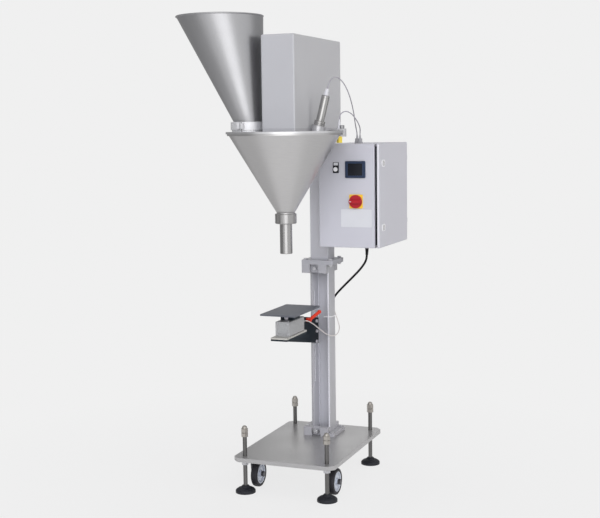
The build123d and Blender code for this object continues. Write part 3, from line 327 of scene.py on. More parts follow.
def paintFinish(name, s):
    # powder coat: faint cloudiness, fine orange peel, edges paler from rubbed wear and a painted highlight;
    # painted light and shade make some faces or heights paler or duller
    s = {**coatSet, **s}
    mat, tree, shade, place = startFinish(name, s)
    cloud = speckle(tree, place, s["cloud"], s["cloudDetail"], s.get("grain"))
    # the paler edges are partly rubbed wear and partly a painted highlight
    colour = rubbedAndHighlitEdges(tree, clouded(tree, cloud, s), tint(s["colour"], s["edge"]), s["edgeWidth"])
    # painted light and shade: chosen faces made paler or darker by a factor
    for patch in s.get("paintedLightPatches", ()):
        colour = timesShade(tree, colour, paintedLightPatch(tree, place, patch))
    # painted light: the colour scaled by a factor that changes with height
    if "paintedLightClimb" in s:
        colour = timesShade(tree, colour, heightShade(tree, place, s["paintedLightClimb"]))
    tree.links.new(colour, shade.inputs["Base Color"])
    tree.links.new(swing(tree, cloud, s["rough"], s["swing"], s["swing"]), shade.inputs["Roughness"])
    relief(tree, shade, speckle(tree, place, s["peel"], s["peelDetail"]), s["bump"], s["depth"], s["edgeWidth"])
    return mat


def boreShare(tree, place, s):
    # 1 on faces that look towards a leaning axis, 0 on the rest; the axis is x = base + lean * z at a fixed y
    at = put(tree, "SeparateXYZ", links={"Vector": place})
    axis = put(tree, "Math", {"operation": "MULTIPLY_ADD", 1: s["lean"], 2: s["base"]}, {0: at.outputs["Z"]})
    dx = put(tree, "Math", {"operation": "SUBTRACT"}, {0: at.outputs["X"], 1: axis.outputs[0]})
    dy = put(tree, "Math", {"operation": "SUBTRACT", 1: s["y"]}, {0: at.outputs["Y"]})
    away = put(tree, "CombineXYZ", links={"X": dx.outputs[0], "Y": dy.outputs[0]})
    dot = put(tree, "VectorMath", {"operation": "DOT_PRODUCT"},
              {0: away.outputs[0], 1: put(tree, "NewGeometry").outputs["Normal"]})
    return put(tree, "Math", {"operation": "LESS_THAN", 1: 0.0}, {0: dot.outputs["Value"]}).outputs[0]


groundSet = {"metal": 1.0, "stretch": (6, 6, 6), "lines": 60.0, "lineDetail": 6.0, "cloud": 5.0,
             "cloudDetail": 3.0, "bump": 0.08, "depth": 0.0004, "edgeWidth": 0.001, "swingDown": 0.04,
             "swingUp": 0.05}


def steelFinish(name, s):
    # ground steel: long fine scratches along one direction over a soft cloud of polish;
    # a bore may be paler and less of a mirror
    s = {**groundSet, **s}
    mat, tree, shade, place = startFinish(name, s)
    lines = speckle(tree, place, s["lines"], s["lineDetail"], s["stretch"])
    cloud = speckle(tree, place, s["cloud"], s["cloudDetail"])
    colour = clouded(tree, lines, s)
    if "bore" in s:
        inside = boreShare(tree, place, s["bore"])
        colour = put(tree, "MixRGB", {"Color2": tint(s["bore"]["colour"], 1)},
                     {"Fac": inside, "Color1": colour}).outputs[0]
        metal = put(tree, "MapRange", {"To Min": s["metal"], "To Max": s["bore"]["metal"]}, {"Value": inside})
        tree.links.new(metal.outputs["Result"], shade.inputs["Metallic"])
    tree.links.new(colour, shade.inputs["Base Color"])
    tree.links.new(swing(tree, cloud, s["rough"], s["swingDown"], s["swingUp"]), shade.inputs["Roughness"])
    relief(tree, shade, lines, s["bump"], s["depth"], s["edgeWidth"])
    return mat


mouldSet = {"grain": 900.0, "grainDetail": 2.0, "cloud": 18.0, "cloudDetail": 3.0, "bump": 0.1, "ribBump": 0.8,
            "depth": 0.0004, "edgeWidth": 0.0008, "swing": 0.06}


def mouldFinish(name, s):
    # moulded plastic or rubber: fine grain, slight unevenness of gloss; a tread has ribs instead of the grain
    s = {**mouldSet, **s}
    mat, tree, shade, place = startFinish(name, s)
    cloud = speckle(tree, place, s["cloud"], s["cloudDetail"])
    tree.links.new(clouded(tree, cloud, s), shade.inputs["Base Color"])
    tree.links.new(swing(tree, cloud, s["rough"], s["swing"], s["swing"]), shade.inputs["Roughness"])
    if "rib" in s:
        # a sine of the distance along the axle, one wave per rib of the tread
        across = put(tree, "SeparateXYZ", links={"Vector": place}).outputs["X"]
        wave = put(tree, "Math", {"operation": "MULTIPLY", 1: 2 * math.pi / s["rib"]}, {0: across})
        height = put(tree, "Math", {"operation": "SINE"}, {0: wave.outputs[0]}).outputs[0]
        relief(tree, shade, height, s["ribBump"], s["depth"], s["edgeWidth"])
    else:
        height = speckle(tree, place, s["grain"], s["grainDetail"])
        relief(tree, shade, height, s["bump"], s["depth"], s["edgeWidth"])
    return mat


bandSet = {"cloud": 220.0, "cloudDetail": 3.0, "bump": 0.08, "depth": 0.0004, "edgeWidth": 0.0006}


def bandFinish(name, s):
    # one turned piece in several materials, split by height: each band has a colour, a gloss and a metal share
    s = {**bandSet, **s}
    mat, tree, shade, place = startFinish(name, s)
    height = put(tree, "SeparateXYZ", links={"Vector": place}).outputs["Z"]
    at = put(tree, "MapRange", {"From Min": 0.0, "From Max": s["top"]}, {"Value": height}).outputs["Result"]
    cloud = speckle(tree, place, s["cloud"], s["cloudDetail"])
    for socket, key in (("Base Color", "colour"), ("Roughness", "rough"), ("Metallic", "metal")):
        values = [band[key] if key == "colour" else (band[key],) * 3 for band in s["bands"]]
        stops = [(band["from"] / s["top"], tuple(value) + (1,)) for band, value in zip(s["bands"], values)]
        tree.links.new(rampOf(tree, at, stops, "CONSTANT"), shade.inputs[socket])
    relief(tree, shade, cloud, s["bump"], s["depth"], s["edgeWidth"])
    return mat


paints = {
    "standPaint": {"colour": (0.352, 0.350, 0.368), "rough": 0.42, "spread": 0.035, "edge": 1.3},
    # painted light and shade on the lower post's channel: back wall and inner face of the left wall paler, left
    # lip front darker, right lip front paler as a painted highlight, outer right face darker as painted shadow
    # from the cabinet
    "postPaint": {"colour": (0.450, 0.450, 0.474), "rough": 0.38, "spread": 0.05, "edge": 1.85,
                  "edgeWidth": 0.0042, "grain": (26, 26, 0.7), "paintedLightPatches": [
                      {"x": (screwX, 0.04150), "y": (0.25650, 0.0006), "k": 1.10},
                      {"x": (0.04175, 0.0006), "y": (0.2150, 0.0440), "k": 1.40},
                      {"x": (0.0385, 0.0050), "y": (0.1665, 0.0030), "k": 0.60},
                      {"x": (0.1280, 0.0050), "y": (0.1665, 0.0030), "k": 1.25},
                      {"x": (0.13175, 0.0008), "y": (0.2150, 0.0600), "k": 0.82}]},
    "cabinetPaint": {"colour": (0.490, 0.490, 0.530), "rough": 0.46, "spread": 0.02, "edge": 1.15,
                     "peel": 900.0},
    "boxPaint": {"colour": (0.430, 0.432, 0.446), "rough": 0.40, "spread": 0.02, "edge": 1.3},
    # the upper post grows paler towards the top as painted light, where the cone and the cabinet shade it
    "upperPaint": {"colour": (0.630, 0.630, 0.664), "rough": 0.42, "spread": 0.03, "edge": 1.3,
                   "paintedLightClimb": [(1.070, 0.56), (1.086, 0.73), (1.360, 1.0)]},
    "headPaint": {"colour": (0.360, 0.360, 0.375), "rough": 0.45, "spread": 0.03, "edge": 1.2},
    "blackPaint": {"colour": (0.011, 0.017, 0.023), "rough": 0.45, "gloss": 0.13, "spread": 0.12,
                   "edge": 2.0, "edgeWidth": 0.0012},
    "panPaint": {"colour": (0.098, 0.104, 0.122), "rough": 0.5, "gloss": 0.35, "spread": 0.06, "edge": 1.5,
                 "edgeWidth": 0.001},
    "motorPaint": {"colour": (0.030, 0.030, 0.032), "rough": 0.5, "spread": 0.1, "edge": 1.6},
}
steels = {
    "funnelSteel": {"colour": (0.47, 0.47, 0.485), "rough": 0.38, "spread": 0.04, "stretch": (14, 14, 0.6),
                    "bore": {"lean": -0.2842, "base": 0.4036, "y": screwY, "colour": (0.66, 0.66, 0.67),
                             "metal": 0.3}},
    "coneSteel": {"colour": (0.58, 0.572, 0.575), "rough": 0.36, "spread": 0.04, "stretch": (0.5, 0.5, 16)},
    "tubeSteel": {"colour": (0.41, 0.405, 0.405), "rough": 0.28, "spread": 0.05, "stretch": (20, 20, 0.5)},
    "lidSteel": {"colour": (0.70, 0.70, 0.715), "rough": 0.34, "spread": 0.04, "stretch": (2, 2, 14)},
    "ringSteel": {"colour": (0.70, 0.70, 0.71), "metal": 0.55, "rough": 0.45, "spread": 0.04,
                  "stretch": (2, 2, 14)},
    "zincSteel": {"colour": (0.52, 0.52, 0.54), "metal": 0.7, "rough": 0.36, "spread": 0.10},
    "plateSteel": {"colour": (0.55, 0.55, 0.56), "metal": 0.9, "rough": 0.42, "spread": 0.06,
                   "stretch": (2, 12, 2)},
    "rimMetal": {"colour": (0.53, 0.56, 0.63), "metal": 0.45, "rough": 0.38, "spread": 0.06,
                 "stretch": (4, 4, 4)},
    "cellMetal": {"colour": (0.385, 0.39, 0.395), "metal": 0.45, "rough": 0.55, "spread": 0.16,
                  "stretch": (5, 5, 5)},
    "shelfMetal": {"colour": (0.52, 0.51, 0.48), "metal": 0.6, "rough": 0.45, "spread": 0.05,
                   "stretch": (16, 1, 4)},
    "lockMetal": {"colour": (0.74, 0.74, 0.75), "metal": 0.6, "rough": 0.25, "spread": 0.03},
    "boltPale": {"colour": (0.64, 0.62, 0.66), "metal": 0.3, "rough": 0.34, "spread": 0.06},
    "clampSteel": {"colour": (0.33, 0.33, 0.34), "metal": 0.9, "rough": 0.42, "spread": 0.08},
    "probeSteel": {"colour": (0.43, 0.425, 0.42), "rough": 0.17, "spread": 0.04, "stretch": (20, 20, 0.5)},
    "baseSteel": {"colour": (0.43, 0.426, 0.428), "metal": 0.7, "rough": 0.34, "spread": 0.05,
                  "stretch": (14, 0.5, 6)},
    "darkZinc": {"colour": (0.11, 0.11, 0.12), "metal": 0.9, "rough": 0.42, "spread": 0.12},
    "driveMetal": {"colour": (0.46, 0.46, 0.47), "metal": 0.9, "rough": 0.4, "spread": 0.06},
}
moulds = {
    "tyreRubber": {"colour": (0.020, 0.019, 0.023), "rough": 0.6, "gloss": 0.3, "spread": 0.2, "rib": 0.0052},
    "beltRubber": {"colour": (0.02, 0.02, 0.02), "rough": 0.7, "spread": 0.15},
    "switchBlack": {"colour": (0.018, 0.018, 0.02), "rough": 0.45, "spread": 0.15},
    "switchWhite": {"colour": (0.58, 0.58, 0.60), "rough": 0.4, "spread": 0.03},
    "switchYellow": {"colour": (0.78, 0.60, 0.06), "rough": 0.4, "spread": 0.05},
    "gasketFoam": {"colour": (0.012, 0.012, 0.018), "rough": 0.85, "gloss": 0.15, "spread": 0.2,
                   "grain": 500.0},
    "deviceGrey": {"colour": (0.30, 0.31, 0.32), "rough": 0.5, "spread": 0.04},
    "panelBlue": {"colour": (0.016, 0.029, 0.064), "rough": 0.38, "gloss": 0.3, "spread": 0.06},
    "legendBlack": {"colour": (0.018, 0.018, 0.022), "rough": 0.4, "gloss": 0.3, "spread": 0.1},
    "buttonPale": {"colour": (0.72, 0.72, 0.73), "rough": 0.3, "spread": 0.02},
    "plateYellow": {"colour": (0.83, 0.52, 0.03), "rough": 0.4, "spread": 0.03},
    "knobRed": {"colour": (0.36, 0.008, 0.016), "rough": 0.36, "gloss": 0.3, "spread": 0.05},
    "glandGrey": {"colour": (0.30, 0.30, 0.31), "rough": 0.45, "spread": 0.05},
    "leverRed": {"colour": (0.62, 0.035, 0.012), "rough": 0.34, "gloss": 0.35, "spread": 0.04},
    "cableBlack": {"colour": (0.006, 0.006, 0.007), "rough": 0.45, "gloss": 0.2, "spread": 0.1},
    "cablePale": {"colour": (0.56, 0.53, 0.51), "rough": 0.45, "spread": 0.03},
    "cableGrey": {"colour": (0.30, 0.29, 0.32), "rough": 0.45, "spread": 0.04},
    "bareLabel": {"colour": (0.58, 0.59, 0.61), "rough": 0.35, "spread": 0.015},
    # a paler copy of the cabinet paint, for the painted highlight on the door's edge
    "doorEdgeSheen": {"colour": (0.64, 0.64, 0.67), "rough": 0.4, "spread": 0.015},
    "tieWhite": {"colour": (0.74, 0.74, 0.75), "rough": 0.4, "spread": 0.02},
    "lockPale": {"colour": (0.72, 0.72, 0.74), "rough": 0.35, "spread": 0.02},
}
darkSteel = {"colour": (0.150, 0.147, 0.145), "rough": 0.33, "metal": 0.9}
footSet = {"colour": (0.1, 0.1, 0.1), "rough": 0.4, "gloss": 0.3, "top": 0.34, "bands": [
    {"from": 0.0, "colour": (0.014, 0.015, 0.019), "rough": 0.5, "metal": 0.0},
    {"from": 0.0335, **darkSteel},
    {"from": 0.2721, "colour": (0.44, 0.415, 0.385), "rough": 0.34, "metal": 0.9}]}

finishes = {name: paintFinish(name, s) for name, s in paints.items()}
finishes.update({name: steelFinish(name, s) for name, s in steels.items()})
finishes.update({name: mouldFinish(name, s) for name, s in moulds.items()})
finishes["footBands"] = bandFinish("footBands", footSet)


screenSet = {"colour": (0.010, 0.011, 0.015), "dark": (0.007, 0.008, 0.012, 1),
             "pale": (0.012, 0.013, 0.018, 1), "rough": 0.16, "swing": 0.06, "gloss": 0.2, "haze": 25.0,
             "hazeDetail": 2.0, "smear": 60.0, "smearDetail": 5.0, "stretch": (1, 1, 3)}


def screenFinish(name, s):
    # dark glass over a switched-off display, slightly hazy and wiped
    mat, tree, shade, place = startFinish(name, s)
    haze = speckle(tree, place, s["haze"], s["hazeDetail"])
    tree.links.new(shadeBetween(tree, haze, s["dark"], s["pale"]), shade.inputs["Base Color"])
    smear = speckle(tree, place, s["smear"], s["smearDetail"], s["stretch"])
    tree.links.new(swing(tree, smear, s["rough"], s["swing"], s["swing"]), shade.inputs["Roughness"])
    return mat


finishes["screenGlass"] = screenFinish("screenGlass", screenSet)

worn = {
    "standPaint": ["foot_collar", "top_collar"],
    "postPaint": ["lower_post"],
    "upperPaint": ["upper_post"],
    "cabinetPaint": ["cabinet_body", "cabinet_door"],
    "boxPaint": ["drive_box"],
    "headPaint": ["head_plate"],
    "zincSteel": ["stand_fasteners"],
    "clampSteel": ["lid_clamps"],
    "boltPale": ["scale_bolts"],
    "baseSteel": ["base_plate"],
    "darkZinc": ["wheel_brackets"],
    "plateSteel": ["mounting_plate"],
    "footBands": ["foot_front_left", "foot_front_right", "foot_rear_left", "foot_rear_right"],
    "rimMetal": ["wheel_rim_left", "wheel_rim_right"],
    "tyreRubber": ["wheel_tyre_left", "wheel_tyre_right"],
    "funnelSteel": ["infeed_hopper"],
    "coneSteel": ["hopper_cone"],
    "lidSteel": ["hopper_lid"],
    "tubeSteel": ["auger_tube", "coupling_collar", "auger_screw", "agitator"],
    "probeSteel": ["level_probe"],
    "ringSteel": ["infeed_collar"],
    "driveMetal": ["gear_case", "screw_pulley", "motor_pulley"],
    "motorPaint": ["servo_motor"],
    "beltRubber": ["drive_belt"],
    "switchBlack": ["lid_switch"],
    "switchWhite": ["lid_switch_fitting"],
    "switchYellow": ["lid_switch_key"],
    "gasketFoam": ["door_gasket"],
    "lockMetal": ["door_lock_upper", "door_lock_lower"],
    "deviceGrey": ["cabinet_devices"],
    "panelBlue": ["hmi_bezel"],
    "screenGlass": ["hmi_screen"],
    "legendBlack": ["button_plate"],
    "buttonPale": ["push_button"],
    "plateYellow": ["switch_plate"],
    "knobRed": ["switch_knob"],
    "glandGrey": ["cable_glands"],
    "blackPaint": ["scale_bracket", "pan_carrier"],
    "shelfMetal": ["cell_plate"],
    "cellMetal": ["load_cell"],
    "panPaint": ["weigh_pan"],
    "leverRed": ["clamp_lever"],
}
for finish, members in worn.items():
    for member in members:
        slots = nodes[member].data.materials
        slots.clear()
        slots.append(finishes[finish])
print("finishes on", sum(len(m) for m in worn.values()), "nodes")


def gridFaces(rows, cols, wrap):
    # quads between neighbouring rows; wrap closes each row on itself
    r = np.arange(rows - 1)[:, None]
    c = np.arange(cols if wrap else cols - 1)[None, :]
    n = (c + 1) % cols
    quads = np.stack([r * cols + c, r * cols + n, (r + 1) * cols + n, (r + 1) * cols + c], axis=-1)
    return quads.reshape(-1, 4)


# edges that turn by more than this stay sharp
creaseAngle = math.radians(38)


def makePiece(name, points, quads, finish, body, caps=(), smooth=True):
    # points (n, 3) in metres and quads (m, 4) become one mesh; caps are closing polygons
    mesh = bpy.data.meshes.new(name)
    mesh.from_pydata(points.reshape(-1, 3).tolist(), [], quads.tolist() + [list(map(int, c)) for c in caps])
    mesh.polygons.foreach_set("use_smooth", np.full(len(mesh.polygons), smooth))
    mesh.materials.append(finishes[finish])
    mesh.update()
    if smooth:
        mesh.set_sharp_from_angle(angle=creaseAngle)
    piece = bpy.data.objects.new(name, mesh)
    bpy.context.scene.collection.objects.link(piece)
    if body:
        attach(piece, body)
    return piece


leadSet = {
    "powerLead": {
        "node": "power_lead", "radius": 0.0055, "length": 1.531, "finish": "cableBlack", "stiff": "medium",
        "slot": "black_cable", "lay": "hanging", "route": [
            (0.30225, 0.265, 1.126), (0.30225, 0.265, 1.094), (0.29725, 0.266, 1.062),
            (0.26925, 0.268, 1.022), (0.21925, 0.272, 0.972), (0.16825, 0.279, 0.924),
            (0.12625, 0.291, 0.883), (0.09925, 0.305, 0.848), (0.05925, 0.316, 0.836),
            (0.01925, 0.325, 0.849), (-0.00575, 0.33, 0.884), (-0.00575, 0.333, 0.941),
            (-0.00275, 0.334, 1.011), (-0.00075, 0.333, 1.085), (-0.00275, 0.333, 1.19),
            (-0.00075, 0.334, 1.295), (-0.00275, 0.333, 1.4), (0.00025, 0.336, 1.5),
            (0.00625, 0.355, 1.584), (0.01725, 0.391, 1.656), (0.03125, 0.415, 1.719),
            (0.04725, 0.423, 1.772), (0.05725, 0.407, 1.807), (0.06325, 0.374, 1.828),
            (0.06325, 0.308, 1.828)]},
    "cellLead": {
        "node": "cell_lead", "radius": 0.0025, "around": 14, "length": 1.046, "finish": "cablePale",
        "stiff": "limp", "slot": "pale_cable", "lay": "hanging", "route": [
            (0.10825, -0.125, 0.808), (0.10825, -0.093, 0.808), (0.11025, -0.047, 0.794),
            (0.11425, 0.005, 0.772), (0.12025, 0.055, 0.744), (0.12725, 0.1, 0.718),
            (0.13525, 0.137, 0.699), (0.14325, 0.173, 0.688), (0.14925, 0.215, 0.684),
            (0.15125, 0.251, 0.692), (0.1495, 0.275, 0.714), (0.1405, 0.280, 0.744),
            (0.1315, 0.274, 0.775), (0.1205, 0.272, 0.808), (0.1115, 0.272, 0.846),
            (0.10325, 0.273, 0.891), (0.08825, 0.28, 0.935), (0.07625, 0.299, 0.969),
            (0.06825, 0.313, 1.009), (0.06325, 0.317, 1.063), (0.06025, 0.323, 1.138),
            (0.05825, 0.335, 1.192), (0.06125, 0.346, 1.24), (0.07925, 0.347, 1.268),
            (0.10775, 0.347, 1.268)]},
    "probeLead": {
        "node": "probe_lead", "radius": 0.0025, "length": 0.500, "finish": "cableGrey", "stiff": "medium",
        "slot": "pale_cable", "lay": "hanging", "route": [
            (0.25249, -0.15, 1.90578), (0.25945, -0.15, 1.9329), (0.27625, -0.135, 1.962),
            (0.29925, -0.111, 1.956), (0.31525, -0.077, 1.922), (0.32125, -0.037, 1.878),
            (0.31925, 0.007, 1.832), (0.31225, 0.053, 1.79), (0.30125, 0.099, 1.752),
            (0.29225, 0.141, 1.722), (0.28925, 0.165, 1.698), (0.28925, 0.165, 1.674)]},
    "switchLead": {
        "node": "switch_lead", "radius": 0.0025, "length": 0.288, "finish": "cableGrey", "stiff": "medium",
        "slot": "pale_cable", "lay": "hanging", "route": [
            (0.26883, -0.03726, 1.748), (0.26883, -0.03726, 1.774), (0.27825, -0.032, 1.797),
            (0.29925, -0.021, 1.806), (0.32125, -0.005, 1.792), (0.33425, 0.021, 1.765),
            (0.33525, 0.057, 1.741), (0.32925, 0.093, 1.722), (0.31925, 0.12, 1.702),
            (0.31925, 0.12, 1.674)]},
}
curveSet = {"order": 3, "steps": 8, "ring": 5}


def routeCurve(name, s, radius):
    # one open NURBS spline of low order with the route as its control points
    curve = bpy.data.curves.new(name, "CURVE")
    curve.dimensions = "3D"
    curve.resolution_u = curveSet["steps"]
    curve.bevel_depth = radius
    curve.bevel_resolution = curveSet["ring"]
    spline = curve.splines.new("NURBS")
    spline.points.add(len(s["route"]) - 1)
    spline.points.foreach_set("co", np.hstack([np.array(s["route"]), np.ones((len(s["route"]), 1))]).ravel())
    spline.order_u = curveSet["order"]
    spline.use_endpoint_u = True
    piece = bpy.data.objects.new(name, curve)
    bpy.context.scene.collection.objects.link(piece)
    return piece


def leadLine(name, s):
    # the points of the lead's own spline, as Blender gives them for a curve with no bevel
    line = routeCurve(name + "Line", s, 0.0)
    bpy.context.view_layer.update()
    flat = bpy.data.meshes.new_from_object(line.evaluated_get(bpy.context.evaluated_depsgraph_get()))
    path = np.empty(len(flat.vertices) * 3)
    flat.vertices.foreach_get("co", path)
    bpy.data.objects.remove(line)
    return path.reshape(-1, 3)


def tubeAlong(path, radius, around):
    # a ring of points carried along the path, its frame turned as little as possible from step to step
    along = np.gradient(path, axis=0)
    along /= np.linalg.norm(along, axis=1)[:, None]
    side = np.zeros_like(along)
    askew = (0.3, 0.2, 0.9)
    start = np.cross(along[0], askew)
    side[0] = start / np.linalg.norm(start)
    for i in range(1, len(path)):
        drop = side[i - 1] - along[i] * np.dot(side[i - 1], along[i])
        side[i] = drop / np.linalg.norm(drop)
    other = np.cross(along, side)
    turn = np.linspace(0, 2 * np.pi, around, endpoint=False)
    ring = np.cos(turn)[None, :, None] * side[:, None, :] + np.sin(turn)[None, :, None] * other[:, None, :]
    return path[:, None, :] + np.broadcast_to(radius, len(path))[:, None, None] * ring


def ringPiece(name, rings, s, body, smooth=True):
    # a closed skin over rows of rings; of the two end polygons the first is turned round, the last as it runs
    rows, cols = rings.shape[:2]
    caps = [np.arange(cols)[::-1], np.arange(cols) + (rows - 1) * cols]
    return makePiece(name, rings, gridFaces(rows, cols, True), s["finish"], body, caps, smooth)


def layLead(name, s):
    if s["node"] != "cell_lead":
        piece = routeCurve(name, s, s["radius"])
        piece.data.materials.append(finishes[s["finish"]])
        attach(piece, "stand")
    else:
        # the table's lead bends as the table moves, so it is a mesh tube along the same spline
        path = leadPaths[name]
        piece = ringPiece(name, tubeAlong(path, s["radius"], s["around"]), s, None)
        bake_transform(piece)
    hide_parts(s["node"])
    return piece


leadPaths = {name: leadLine(name, s) for name, s in leadSet.items()}
leads = {name: layLead(name, s) for name, s in leadSet.items()}
print("cables laid:", len(leads))

blackBoot = {"lead": "powerLead", "length": 0.034, "wide": 0.0098, "slim": 0.0066, "ribs": 6, "body": "stand",
             "finish": "cableBlack", "slot": "black_cable"}
greyBoot = {"length": 0.020, "wide": 0.0062, "slim": 0.0032, "ribs": 5, "body": "stand", "finish": "glandGrey",
            "slot": "gland"}
bootSet = {
    "powerBootLow": {**blackBoot, "end": 0},
    "powerBootHigh": {**blackBoot, "end": 1},
    "cellBootTable": {**greyBoot, "lead": "cellLead", "end": 0, "length": 0.022, "wide": 0.0058,
                      "body": "table"},
    "cellBootPost": {**greyBoot, "lead": "cellLead", "end": 1},
    "probeBootHigh": {"lead": "probeLead", "end": 0, "length": 0.014, "wide": 0.0046, "slim": 0.0030, "ribs": 4,
                      "body": "stand", "finish": "cableGrey", "slot": "pale_cable"},
    "probeBootLow": {**greyBoot, "lead": "probeLead", "end": 1},
    "switchBootHigh": {**greyBoot, "lead": "switchLead", "end": 0, "length": 0.018, "wide": 0.0056,
                       "finish": "switchWhite", "slot": "switch_white"},
    "switchBootLow": {**greyBoot, "lead": "switchLead", "end": 1, "length": 0.018},
}
sleeveSet = {"steps": 61, "around": 24, "fall": 0.8, "ribDepth": 0.10}


def alongLead(lead, end, distances):
    # places on the lead's spline at given distances from one of its ends
    path = leadPaths[lead] if end == 0 else leadPaths[lead][::-1]
    run = np.concatenate([[0], np.cumsum(np.linalg.norm(np.diff(path, axis=0), axis=1))])
    return np.stack([np.interp(distances, run, path[:, k]) for k in range(3)], -1)


def strainBoot(name, s):
    # a sleeve on the lead: the radius falls from wide to slim, with soft ribs that fade out along it
    t = np.linspace(0, 1, sleeveSet["steps"])
    path = alongLead(s["lead"], s["end"], t * s["length"])
    radius = s["wide"] + (s["slim"] - s["wide"]) * t ** sleeveSet["fall"]
    groove = 0.5 - 0.5 * np.cos(2 * np.pi * s["ribs"] * t)
    radius -= sleeveSet["ribDepth"] * s["wide"] * (1 - t) * groove
    return ringPiece(name, tubeAlong(path, radius, sleeveSet["around"]), s, s["body"])


for name, s in bootSet.items():
    strainBoot(name, s)

tieSet = {
    "route": [(0.1035, 0.1700, 0.7852), (0.1160, 0.1664, 0.7856), (0.1285, 0.1654, 0.7860),
              (0.1328, 0.1654, 0.7860), (0.1330, 0.1700, 0.7855), (0.1329, 0.2050, 0.7798),
              (0.1330, 0.2480, 0.7792), (0.1345, 0.2640, 0.7780), (0.1362, 0.2725, 0.7770)],
    "thick": 0.0012, "high": 0.0048, "finish": "tieWhite", "body": "stand", "slot": "switch_white",
    "eyeHalf": 0.003, "eyeAround": 20, "eyeSwell": (0.0003, 0.0012, 0.0014, 0.0014, 0.0014, 0.0012, 0.0003)}


def leadTie(name, s):
    # a flat strip carried round the edge of the post: rings of four points, thick outwards and high along Z
    path = leadLine(name, s)
    along = np.gradient(path, axis=0)
    out = np.cross(along, (0, 0, 1.0))
    out *= s["thick"] / np.linalg.norm(out, axis=1)[:, None]
    rise = np.array([0, 0, s["high"] / 2])
    skin = np.stack([path + rise, path + rise + out, path - rise + out, path - rise], 1)
    ringPiece(name, skin, s, s["body"], smooth=False)
    # its eye round the lead: a short tube that swells beyond the lead's radius
    lead = leadPaths["cellLead"]
    near = int(np.argmin(np.linalg.norm(lead - np.array(s["route"][-1]), axis=1)))
    run = np.linalg.norm(np.diff(lead[:near + 1], axis=0), axis=1).sum()
    eye = alongLead("cellLead", 0, run + np.linspace(-s["eyeHalf"], s["eyeHalf"], len(s["eyeSwell"])))
    radius = leadSet["cellLead"]["radius"] + np.array(s["eyeSwell"])
    ringPiece(name + "Eye", tubeAlong(eye, radius, s["eyeAround"]), s, s["body"])


leadTie("leadTie", tieSet)
print("boots and tie on the leads:", len(bootSet) + 2)

threadSet = {"root": 0.00972, "crest": 0.01025, "pitch": 0.0025, "low": 0.0335, "high": 0.2720, "around": 24,
             "perPitch": 4, "finish": "footBands", "slot": "zinc"}


def footThread(name, x, y, body, s):
    # radius = root + depth * triangle wave of (height / pitch - turn), so the ridge climbs one pitch per turn
    steps = int((s["high"] - s["low"]) / s["pitch"] * s["perPitch"]) + 1
    z = np.linspace(s["low"], s["high"], steps)[:, None]
    turn = np.linspace(0, 1, s["around"], endpoint=False)[None, :]
    phase = np.mod(z / s["pitch"] - turn, 1.0)
    r = s["root"] + (s["crest"] - s["root"]) * (1 - np.abs(2 * phase - 1))
    a = 2 * np.pi * turn
    points = np.stack([x + r * np.cos(a), y + r * np.sin(a), np.broadcast_to(z, r.shape)], axis=-1)
    return ringPiece(name, points, s, body)


footAt = {"foot_fl": (-0.12475, -0.313), "foot_fr": (0.29125, -0.313), "foot_rl": (-0.12475, 0.332),
          "foot_rr": (0.29125, 0.332)}
for body, (x, y) in footAt.items():
    footThread("thread_" + body, x, y, body, threadSet)
print("threads cut")


def squareTo(axis):
    # the axis and two unit vectors square to it, in right-handed order
    nearlyUp = 0.9
    axis = np.array(axis, float) / np.linalg.norm(axis)
    first = np.cross((0.0, 0.0, 1.0) if abs(axis[2]) < nearlyUp else (1.0, 0.0, 0.0), axis)
    first /= np.linalg.norm(first)
    return axis, first, np.cross(axis, first)


turnedAround = 48


def turnedPiece(name, s):
    # each profile row (along, radius, sides) is a ring about the axis; a ring with 6 sides is a hexagon,
    # and flutes are shallow grooves (count, depth) along the whole piece
    axis, first, second = squareTo(s["axis"])
    rows = np.array([(tuple(r) + (0,))[:3] for r in s["profile"]], float)
    turn = np.linspace(0, 2 * np.pi, s.get("around", turnedAround), endpoint=False)[None, :]
    sides = np.maximum(rows[:, 2:], 1)
    step = 2 * np.pi / sides
    flat = np.where(rows[:, 2:] > 0, np.cos(step / 2) / np.cos(np.mod(turn, step) - step / 2), 1.0)
    flutes, depth = s.get("flutes", (0, 0.0))
    radius = rows[:, 1:2] * flat - depth * (0.5 - 0.5 * np.cos(flutes * turn))
    ring = radius[..., None] * (np.cos(turn)[..., None] * first + np.sin(turn)[..., None] * second)
    return ringPiece(name, np.array(s["at"]) + rows[:, 0][:, None, None] * axis + ring, s, s["body"])


def socketHead(r, h):
    # profile of a socket head screw: rounded shoulder, flat top and a hexagon sunk into it
    shoulder = [(0, r), (0.8 * h, r), (0.95 * h, 0.94 * r), (h, 0.84 * r)]
    return shoulder + [(h, 0.56 * r, 6), (0.45 * h, 0.54 * r, 6)]


def domeHead(r, h):
    # profile of a dome: most of a quarter ellipse, from the rim to a small flat at its top
    steps, last = 9, 0.47 * np.pi
    return [(h * math.sin(k), r * math.cos(k)) for k in np.linspace(0, last, steps)]


